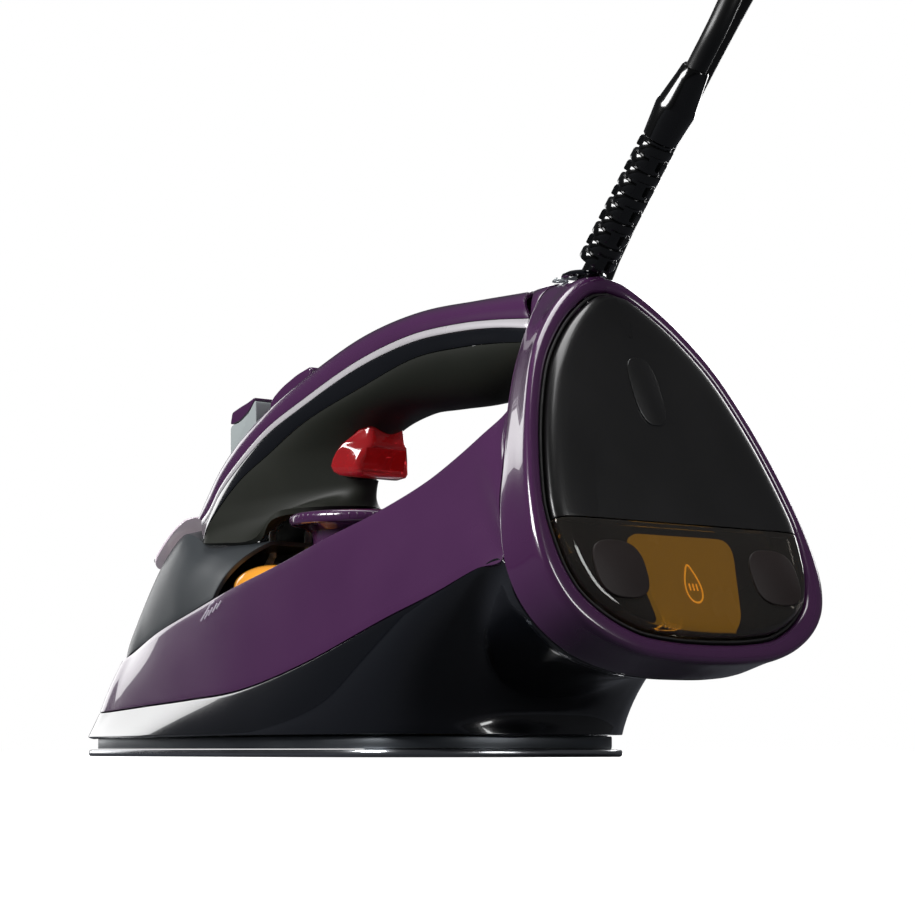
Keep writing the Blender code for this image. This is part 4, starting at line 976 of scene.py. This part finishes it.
coverLow = design(
    (-139.4, 1.5, 36.3), (-129, 7.8, 38), (-113, 13.0, 41.8), (-101, 16.8, 44.6), (-90, 20.1, 46.9),
    (-80, 23, 49), (-69, 25.6, 51.2), (-58, 28.4, 53.5), (-47, 31.3, 55.8),
)
coverHigh = design(
    (-139.1, 0.8, 37.3), (-128.8, 3, 49.4), (-114, 6, 66.8), (-104, 7.5, 76), (-94.5, 8, 82),
    (-84, 10.5, 80.5), (-71, 14, 75.6), (-52, 15.5, 76), (-34, 15, 76.2),
)
coverRidge = design(
    (-139, 0, 37.5), (-129.4, 0, 50.2), (-114.8, 0, 68.4), (-104.5, 0, 77.9), (-94.5, 0, 84),
    (-84, 0, 80.7), (-71, 0, 75.8), (-52, 0, 76), (-34, 0, 76.2),
)
rows = []
for low, high, ridge in zip(*[along(line, fine, False) for line in (coverLow, coverHigh, coverRidge)]):
    shoulder = Vector((low.x * 0.4 + high.x * 0.6, low.y * 0.96 + high.y * 0.06, low.z * 0.35 + high.z * 0.65))
    row = [bend(low, shoulder, high, v / 14) for v in range(15)]
    rows.append(across(row + [high.lerp(ridge, 0.3), high.lerp(ridge, 0.6), high.lerp(ridge, 0.85), ridge]))


def sideFrame(origin, run):
    x = Vector((run[0], 0, run[1])).normalized()
    z = Vector((-x.z, 0, x.x))
    return Matrix.Translation(origin) @ Matrix((x, Vector((0, 1, 0)), z)).transposed().to_4x4()


doorFrame = sideFrame(at(-104.2, 0, 78.4), (20, 18.2))
doorOut = doorFrame.to_3x3() @ Vector((0, 0, 1))
nozzleFrame = sideFrame(at(-125.2, 0, 55.0), (0.64, 0.77))
nozzleOut = nozzleFrame.to_3x3() @ Vector((0, 0, 1))
tools = [
    cutter("portTool", 7.0, 16, doorFrame.translation, doorOut),
    cutter("nozzleTool", 3.4, 12, nozzleFrame.translation, nozzleOut),
    cutter("sprayPassage", 2.8, 14, at(-61, 7, 78)), cutter("boostPassage", 2.8, 14, at(-41, 7.5, 78)),
]
noseCover = skin("noseCover", rows, blackAbsPaintedReflection, fromMiddle, wall=1.5, cuts=tools)
tidyTools(*tools)
fitted(noseCover, "black_shell", "housing", "nose_cover")
print("deck and nose ready")

# handle

coverTop = design(
    (-94, 0, 88.2), (-85, 0, 98.3), (-75, 0, 107.8), (-62, 0, 117.6), (-46, 0, 127), (-24, 0, 137),
    (6.7, 0, 148), (35, 0, 152.6), (62, 0, 153), (75, 0, 153.1), (86, 0, 153.2),
)
trimHigh = design(
    (-85, 7.5, 87), (-77, 10, 90.7), (-68, 12.2, 98), (-55.7, 14, 106), (-38, 15, 116.6), (-18, 15.5, 124.8),
    (12.5, 15.5, 136), (41, 16, 142), (64.5, 16, 143.2), (82, 16, 142.6), (98, 16, 141.2),
)
stripHigh = design(
    (-83.5, 8.5, 84.5), (-75.5, 11.2, 88.2), (-66.5, 13.2, 95.5), (-54.4, 14.9, 103.4), (-36.8, 15.8, 113.9),
    (-17, 16.3, 122), (13.5, 16.3, 133.1), (42, 16.6, 139.1), (65, 16.7, 140.2), (83, 16.8, 139.5),
    (99, 17.2, 137.6),
)
gripHigh = design(
    (-74.5, 14.5, 78.5), (-71, 16, 82.5), (-62.5, 16.5, 90.3), (-50, 17, 99), (-35, 17, 106.5),
    (-14, 17.2, 116.6), (16.6, 17.5, 126), (45, 17.9, 133.5), (67, 18, 134.7), (85, 18.4, 134.2),
    (101.5, 20.6, 132.6),
)
gripLow = design(
    (1, 0, 86.2), (2.5, 0, 90.5), (4, 0, 96), (6, 0, 103), (9.5, 0, 109.5), (16, 0, 114), (29, 0, 117),
    (47, 0, 117.2), (66, 0, 117.3), (82, 0, 119.4), (98.2, 0, 122.6),
)
neckEdge = design(
    (-74.5, 14.5, 77.4), (-60, 17.6, 76.7), (-40, 18.4, 77.2), (-29, 18.4, 85.4), (-13, 17.4, 86.6), (1, 0, 87.2)
)
grip = {"roundness": 1.85, "columns": 26, "wall": 2.0}


def quarter(high, low, share):
    angle = share * math.pi / 2
    down = math.sin(angle) ** (2 / grip["roundness"])
    out = math.cos(angle) ** (2 / grip["roundness"]) if share < 1 else 0.0
    return Vector((high.x + (low.x - high.x) * down, high.y * out, high.z + (low.z - high.z) * down))


rows = []
for k, (high, low) in enumerate(zip(along(gripHigh, fine, False), along(gripLow, fine, False))):
    flare = max(1 - k / (2 * fine), 0.0) ** 2
    row = []
    for c in range(grip["columns"] + 1):
        share = c / grip["columns"]
        foot = guideAt(neckEdge, share * (len(neckEdge) - 1), True) + Vector((0, 0, 5.0 * k / fine))
        row.append(quarter(high, low, max(share, 0.012)).lerp(foot, flare))
    rows.append(across(row))
# (height, front x, front half width, rear x, rear half width): a head, and a saddle that widens over the neck's sides
lever = {
    "stations": [
        (117.6, 8.0, 6.4, 10.4, 7.2), (116.6, 6.4, 7.3, 11.2, 7.6), (114, 5.4, 8.6, 11.2, 7.6),
        (111.5, 4.4, 11.0, 11.4, 7.7),
        (108.8, 2.4, 13.6, 11.6, 7.8), (107.6, 1.2, 14.4, 11.9, 8.2), (105.2, -0.9, 14.9, 10.6, 9.8),
        (102.8, -2.5, 15.0, 9.4, 11.2),
        (100.6, -3.4, 14.9, 8.8, 11.8), (98.6, -2.4, 14.5, 9.0, 11.8), (97.3, -0.2, 13.6, 8.8, 11.0),
        (96.7, 2.4, 11.5, 7.6, 9.0),
    ],
    "scoop": [(1.0, 104.6), (-0.6, 101.6), (1.6, 99.2), (20, 99.6), (20, 106.6), (7.5, 106.4)], "scoopHalf": 9.2,
    "play": 0.45, "pivot": (6.5, 0, 113.5), "swing": 6.5,
}


def leverRings(grow, swing=0.0):
    # grow widens the shape all round, and swing leaves room in front for turning that far about the pin
    rings = []
    for z, front, frontHalf, rear, rearHalf in lever["stations"]:
        ring = []
        reach = max(lever["pivot"][2] - z, 0) * math.tan(math.radians(swing))
        nearX, nearY, farX, farY = front - grow - reach, frontHalf + grow + reach * 0.6, rear + grow, rearHalf + grow
        corners = [(nearX, nearY), (farX, farY), (farX, -farY), (nearX, -nearY)]
        for x, y in rounded(corners, 2.2, 6):
            ring.append(Vector((x, y, z + (grow if z > 112 else -grow))))
        rings.append(ring)
    return rings


pocket = body("pocket", leverRings(lever["play"], lever["swing"]), None)
pocket.hide_render = pocket.hide_viewport = True
handleGrip = skin("handleGrip", rows, softGrip, fromMiddle, wall=grip["wall"], edge=0.0, cuts=[pocket])
tidyTools(pocket)
fitted(handleGrip, "grip", "housing", "handle_grip")


def ribbon(name, node, highLine, lowLine, side, material, slotName, bulge, wall):
    rows = []
    for high, low in zip(along(highLine, fine, False), along(lowLine, fine, False)):
        high, low = short(high, low, 0.12), short(low, high, 0.12)
        middle = (high + low) / 2 + Vector((0, bulge * 2, 0))
        row = [bend(high, middle, low, v / 6) for v in range(7)]
        rows.append([Vector((p.x, p.y * side, p.z)) for p in row])
    made = skin(name, rows, material, lambda p: Vector((0, side, 0)), wall, edge=0.18)
    fitted(made, slotName, "housing", node)


for side, hand in ((1, "Left"), (-1, "Right")):
    ribbon(
        "strip" + hand, "handle_strip_" + hand.lower(), stripHigh, gripHigh, side, blackAbs, "black_shell", 0.3, 1.4
    )
    ribbon("trim" + hand, "handle_trim_" + hand.lower(), trimHigh, stripHigh, side, silverTrim, "trim", 0.25, 1.3)

rows = []
for low, high in zip(along(trimHigh, fine, False), along(coverTop, fine, False)):
    low = short(low, high, 0.12)
    shoulder = Vector(((low.x + high.x) / 2, low.y, low.z * 0.15 + high.z * 0.85))
    crown = Vector((high.x, 0, high.z))
    rows.append(across([bend(low, shoulder, crown, v / 14) for v in range(15)]))
buttons = {
    "knobHalf": 7.5, "boostHalf": 6.5, "holeGap": 0.5,
    "knob": [
        (-68, 108.2), (-68.2, 120.6), (-62.8, 121.6), (-57.6, 124.6), (-54.2, 128.6), (-53.4, 128.4), (-53.0, 118.2)
    ],
    "cap": [
        (-68.2, 121.1), (-67.2, 125.4), (-63, 126.9), (-58, 128.4), (-54.2, 129.9), (-53.9, 129.3), (-57.8, 125.2),
        (-62.9, 122.1)
    ],
    "boost": [
        (-46.5, 122.2), (-46.6, 127.4), (-44.6, 129.6), (-40, 132.6), (-32, 136.2), (-24.4, 138.4), (-23.4, 137.6),
        (-23.2, 132.6)
    ],
}
knobTool = slab(
    "knobTool", [(-68.7, 95), (-68.7, 135), (-48.6, 135), (-48.6, 95)], buttons["knobHalf"] + buttons["holeGap"],
    None, edge=0
)
boostTool = slab(
    "boostTool", [(-47.1, 112), (-47.1, 145), (-22.1, 145), (-22.1, 112)],
    buttons["boostHalf"] + buttons["holeGap"], None, edge=0
)
for tool in (knobTool, boostTool):
    tool.hide_render = tool.hide_viewport = True
topCover = skin("handleTopCover", rows, purpleAbs, upward, wall=1.7, edge=0.25, cuts=[knobTool, boostTool])
tidyTools(knobTool, boostTool)
fitted(topCover, "purple_shell", "housing", "handle_top_cover")

sprayKnob = slab("sprayKnob", rounded(buttons["knob"], 1.6), buttons["knobHalf"], paleGrey, edge=1.3)
sprayCap = slab("sprayCap", rounded(buttons["cap"], 0.8), buttons["knobHalf"], purpleAbs, edge=0.5)
boostButton = slab("boostButton", rounded(buttons["boost"], 2.4), buttons["boostHalf"], purpleAbs, edge=1.2)
for piece, node, slotName, bodyName in (
    (sprayKnob, "spray_button", "pale_grey", "spray_knob"),
    (sprayCap, "spray_button_cap", "purple_shell", "spray_knob"),
    (boostButton, "steam_boost_button", "purple_shell", "boost_knob"),
):
    fitted(piece, slotName, bodyName, node)

scoop = slab("scoop", rounded(lever["scoop"], 1.5), lever["scoopHalf"], None, edge=0)
trigger = body("steamTrigger", leverRings(0.0), redClearPaintedGlow, cuts=[scoop], sharp=50)
tidyTools(scoop)
# the pin ends inside the trigger's cheeks
triggerPin = turnedBody(
    "triggerPin", [(0, 6.6), (1.0, 6.6), (1.0, -6.6), (0, -6.6)], springSteel, at(*lever["pivot"]), (0, 1, 0), 24
)
fitted(triggerPin, "steel", "housing", "trigger_pin")
fitted(trigger, "red", "trigger", "steam_trigger")
print("handle ready")

# dial, lenses, door, nozzle

dialProfile = [
    (0, 84.3), (20, 84.3), (24.5, 84.25), (25.8, 84.0), (26.5, 83.5), (26.9, 82.8), (27.0, 82.0), (26.9, 81.0),
    (26.6, 80.3),
    (26.0, 79.85), (25.0, 79.7), (21.5, 78.9), (19.8, 78.0), (19.1, 76.6), (18.8, 74.0), (18.6, 65.8), (18.2, 65.2),
    (0, 65.2),
]
# small finger notches round the rim, as ribs that stand a little proud
notch = {"count": 60, "radius": 26.72, "height": 82.1, "size": (0.7, 0.75, 2.6)}
tree, given = startTree(
    "dialNotches", Count=("Int", 60), Radius=("Float", 0.027), Height=("Float", 0.08), Size=("Vector", None)
)
circle = addNode(tree, "GeometryNodeMeshCircle", links={"Vertices": given["Count"], "Radius": given["Radius"]})
lift = addNode(tree, "ShaderNodeCombineXYZ", links={"Z": given["Height"]})
raised = addNode(
    tree, "GeometryNodeTransform", links={"Geometry": circle.outputs["Mesh"], "Translation": lift.outputs["Vector"]}
)
knob = addNode(tree, "GeometryNodeMeshIcoSphere", values={"Radius": 0.5, "Subdivisions": 2})
oval = addNode(tree, "GeometryNodeTransform", links={"Geometry": knob.outputs["Mesh"], "Scale": given["Size"]})
order = addNode(tree, "GeometryNodeInputIndex")
share = addNode(tree, "ShaderNodeMath", {"operation": "DIVIDE"}, {}, {0: order.outputs["Index"], 1: given["Count"]})
angle = addNode(tree, "ShaderNodeMath", {"operation": "MULTIPLY"}, {1: math.tau}, {0: share.outputs[0]})
spin = addNode(tree, "ShaderNodeCombineXYZ", links={"Z": angle.outputs[0]})
ridges = addNode(
    tree, "GeometryNodeInstanceOnPoints",
    links={
        "Points": raised.outputs["Geometry"], "Instance": oval.outputs["Geometry"],
        "Rotation": spin.outputs["Vector"]
    },
)
endTree(tree, given, ridges.outputs["Instances"], keep=given["Geometry"])
dial = grown(
    turnedBody("temperatureDial", dialProfile, purpleAbs, at(0, 0, 0)), tree, purpleAbs, Count=notch["count"],
    Radius=notch["radius"] * mm, Height=notch["height"] * mm, Size=[v * mm for v in notch["size"]],
)
fitted(dial, "purple_shell", "dial", "temperature_dial")

lens = {"place": (-22.5, 25.0), "length": 18.0, "width": 8.0, "foot": 59.2, "rise": 7.4}
for side, hand in ((1, "Left"), (-1, "Right")):
    centre = at(lens["place"][0], lens["place"][1] * side, 0)
    rings = []
    for i in range(13):
        angle = i / 12 * math.pi / 2
        reach, height = max(math.cos(angle), 0.02), lens["foot"] + lens["rise"] * math.sin(angle)
        long, wide = lens["length"] * reach, lens["width"] * reach
        turns = [a * math.pi / 32 for a in range(64)]
        rings.append([centre + Vector((long * math.cos(a), wide * math.sin(a), height)) for a in turns])
    dome = body("indicatorLens" + hand, rings, amberClear)
    fitted(dome, "amber", "housing", "indicator_lens_" + hand.lower())

door = {
    "half": 9.0, "lift": 1.0,
    "stations": [
        (-13.6, 0.3, 0.3), (-12.6, 0.62, 3.0), (-10.8, 0.82, 3.9), (-8.0, 0.95, 3.7), (-4, 1.0, 3.3), (2, 1.0, 3.0),
        (8, 0.92, 2.4), (12.5, 0.7, 1.5), (14.0, 0.4, 0.8),
    ],
}
rings = []
for station in along(design(*door["stations"]), 5, False):
    ring = []
    for i in range(33):
        angle = math.pi * i / 32
        height = station.z * math.sin(angle) ** 0.7 if 0 < i < 32 else 0.0
        ring.append(
            doorFrame @ Vector((station.x, door["half"] * station.y * math.cos(angle), door["lift"] + height))
        )
    rings.append(ring)
doorPivot = doorFrame @ Vector((-10.8, 0, 3.1))
boreTool = cutter("boreTool", 1.2, 13.6, doorPivot, (0, 1, 0))
fillingDoor = body("fillingDoor", rings, lilacClearPaintedGlow, edge=0.3, cuts=[boreTool])
tidyTools(boreTool)
doorPin = turnedBody("doorPin", [(0, 6.6), (0.8, 6.6), (0.8, -6.6), (0, -6.6)], springSteel, doorPivot, (0, 1, 0), 24)
fitted(doorPin, "steel", "housing", "door_pin")
fitted(fillingDoor, "lilac", "door", "filling_door")

nozzleProfile = [
    (0, 1.1), (0.5, 1.1), (0.8, 2.0), (1.2, 2.25), (2.0, 2.1), (2.6, 1.6), (2.9, 0.8), (2.9, -5), (0, -5)
]
nozzle = turnedBody("sprayNozzle", nozzleProfile, blackAbs, nozzleFrame.translation, nozzleOut, 48)
fitted(nozzle, "black_shell", "housing", "spray_nozzle")

# cord guard and its socket

guard = {
    "ribs": 10, "pitch": 4.6, "ribRadius": 6.1, "ribWidth": 3.3, "ribDepth": 1.7, "opening": 0.13, "core": 4.9,
    "start": 5.6,
    "cuff": 26.0,
}
ribsEnd = guard["start"] + guard["ribs"] * guard["pitch"]
cuffEnd = ribsEnd + guard["cuff"]
profile = [
    (0, cuffEnd), (4.2, cuffEnd), (4.6, cuffEnd - 0.6), (5.0, cuffEnd - 4), (6.3, ribsEnd + 13.4),
    (6.7, ribsEnd + 12),
    (6.8, ribsEnd + 11), (6.4, ribsEnd + 7), (5.8, ribsEnd + 0.3), (5.5, ribsEnd), (guard["core"], ribsEnd - 0.4),
    (guard["core"], guard["start"]), (3.2, guard["start"]), (3.2, -9), (0, -9),
]
# split rings threaded along the core, each turned a quarter round from the last, so that their gaps alternate
tree, given = startTree(
    "guardRibs", Count=("Int", 9), Pitch=("Float", 0.005), Radius=("Float", 0.005), Width=("Float", 0.003),
    Depth=("Float", 0.002), Opening=("Float", 0.1), Foot=("Vector", None), Turn=("Rotation", None),
)
halfTurn = addNode(
    tree, "ShaderNodeMath", {"operation": "MULTIPLY_ADD"}, {1: -math.tau, 2: math.pi}, {0: given["Opening"]}
)
arc = addNode(
    tree, "GeometryNodeCurveArc", values={"Resolution": 22},
    links={"Radius": given["Radius"], "Sweep Angle": halfTurn.outputs[0]}
)
bar = addNode(
    tree, "GeometryNodeCurvePrimitiveQuadrilateral", links={"Width": given["Depth"], "Height": given["Width"]}
)
corner = addNode(
    tree, "GeometryNodeFilletCurve", {"mode": "POLY"}, {"Radius": 0.00045, "Count": 2},
    {"Curve": bar.outputs["Curve"]}
)
half = addNode(
    tree, "GeometryNodeCurveToMesh", values={"Fill Caps": True},
    links={"Curve": arc.outputs["Curve"], "Profile Curve": corner.outputs["Curve"]},
)
other = addNode(
    tree, "GeometryNodeTransform", values={"Rotation": (0, 0, math.pi)}, links={"Geometry": half.outputs["Mesh"]}
)
ring = addNode(tree, "GeometryNodeJoinGeometry")
for source in (half.outputs["Mesh"], other.outputs["Geometry"]):
    tree.links.new(ring.inputs["Geometry"], source)
step = addNode(tree, "ShaderNodeCombineXYZ", links={"Z": given["Pitch"]})
row = addNode(tree, "GeometryNodeMeshLine", links={"Count": given["Count"], "Offset": step.outputs["Vector"]})
order = addNode(tree, "GeometryNodeInputIndex")
odd = addNode(tree, "ShaderNodeMath", {"operation": "MULTIPLY"}, {1: math.pi / 2}, {0: order.outputs["Index"]})
spin = addNode(tree, "ShaderNodeCombineXYZ", links={"Z": odd.outputs[0]})
ribs = addNode(
    tree, "GeometryNodeInstanceOnPoints",
    links={"Points": row.outputs["Mesh"], "Instance": ring.outputs["Geometry"], "Rotation": spin.outputs["Vector"]},
)
stood = addNode(
    tree, "GeometryNodeTransform",
    links={"Geometry": ribs.outputs["Instances"], "Translation": given["Foot"], "Rotation": given["Turn"]},
)
endTree(tree, given, stood.outputs["Geometry"], keep=given["Geometry"])
ribTurn = Vector((0, 0, 1)).rotation_difference(neck["run"])
core = turnedBody("cordGuard", profile, guardRubber, neck["foot"], neck["run"], 40)
cordGuard = grown(
    core, tree, guardRubber, Count=guard["ribs"], Pitch=guard["pitch"] * mm, Width=guard["ribWidth"] * mm,
    Depth=guard["ribDepth"] * mm, Radius=(guard["ribRadius"] - guard["ribDepth"] / 2) * mm, Opening=guard["opening"],
    Foot=(neck["foot"] + neck["run"] * (guard["start"] + guard["ribWidth"] / 2)) * mm, Turn=ribTurn.to_euler(),
)
fitted(cordGuard, "rubber", "housing", "cord_guard")

# CAD pieces that keep their shape get their own finishes

finishes = {
    "steam_chamber_cover": castAluminium, "heating_element": castAluminium, "thermostat": castAluminium,
    "spray_spring": springSteel, "boost_spring": springSteel, "trigger_spring": springSteel,
    "housing_screw": springSteel, "spray_pump": whiteNylon, "boost_pump": whiteNylon,
    "spindle_sleeve": whiteNylon, "thermal_fuse": whiteNylon, "filling_funnel": whiteNylon, "spray_hose": whiteNylon,
    "boost_hose": whiteNylon, "terminal_block": whiteNylon, "cord_clamp": whiteNylon, "thermostat_spindle": plugBrass,
    "drip_valve": plugBrass, "plug_pin_left": plugBrass, "plug_pin_right": plugBrass, "plug_body": blackRubber,
    "microswitch": charcoalPlate, "circuit_board": boardGreen, "water_tank": smokedClear,
    "scale_collector": amberCollectorPaintedGlow,
    "cord_socket": blackAbs, "auto_off_light": clearLens,
}
for name, material in finishes.items():
    for place in nodes[name].material_slots:
        place.material = material
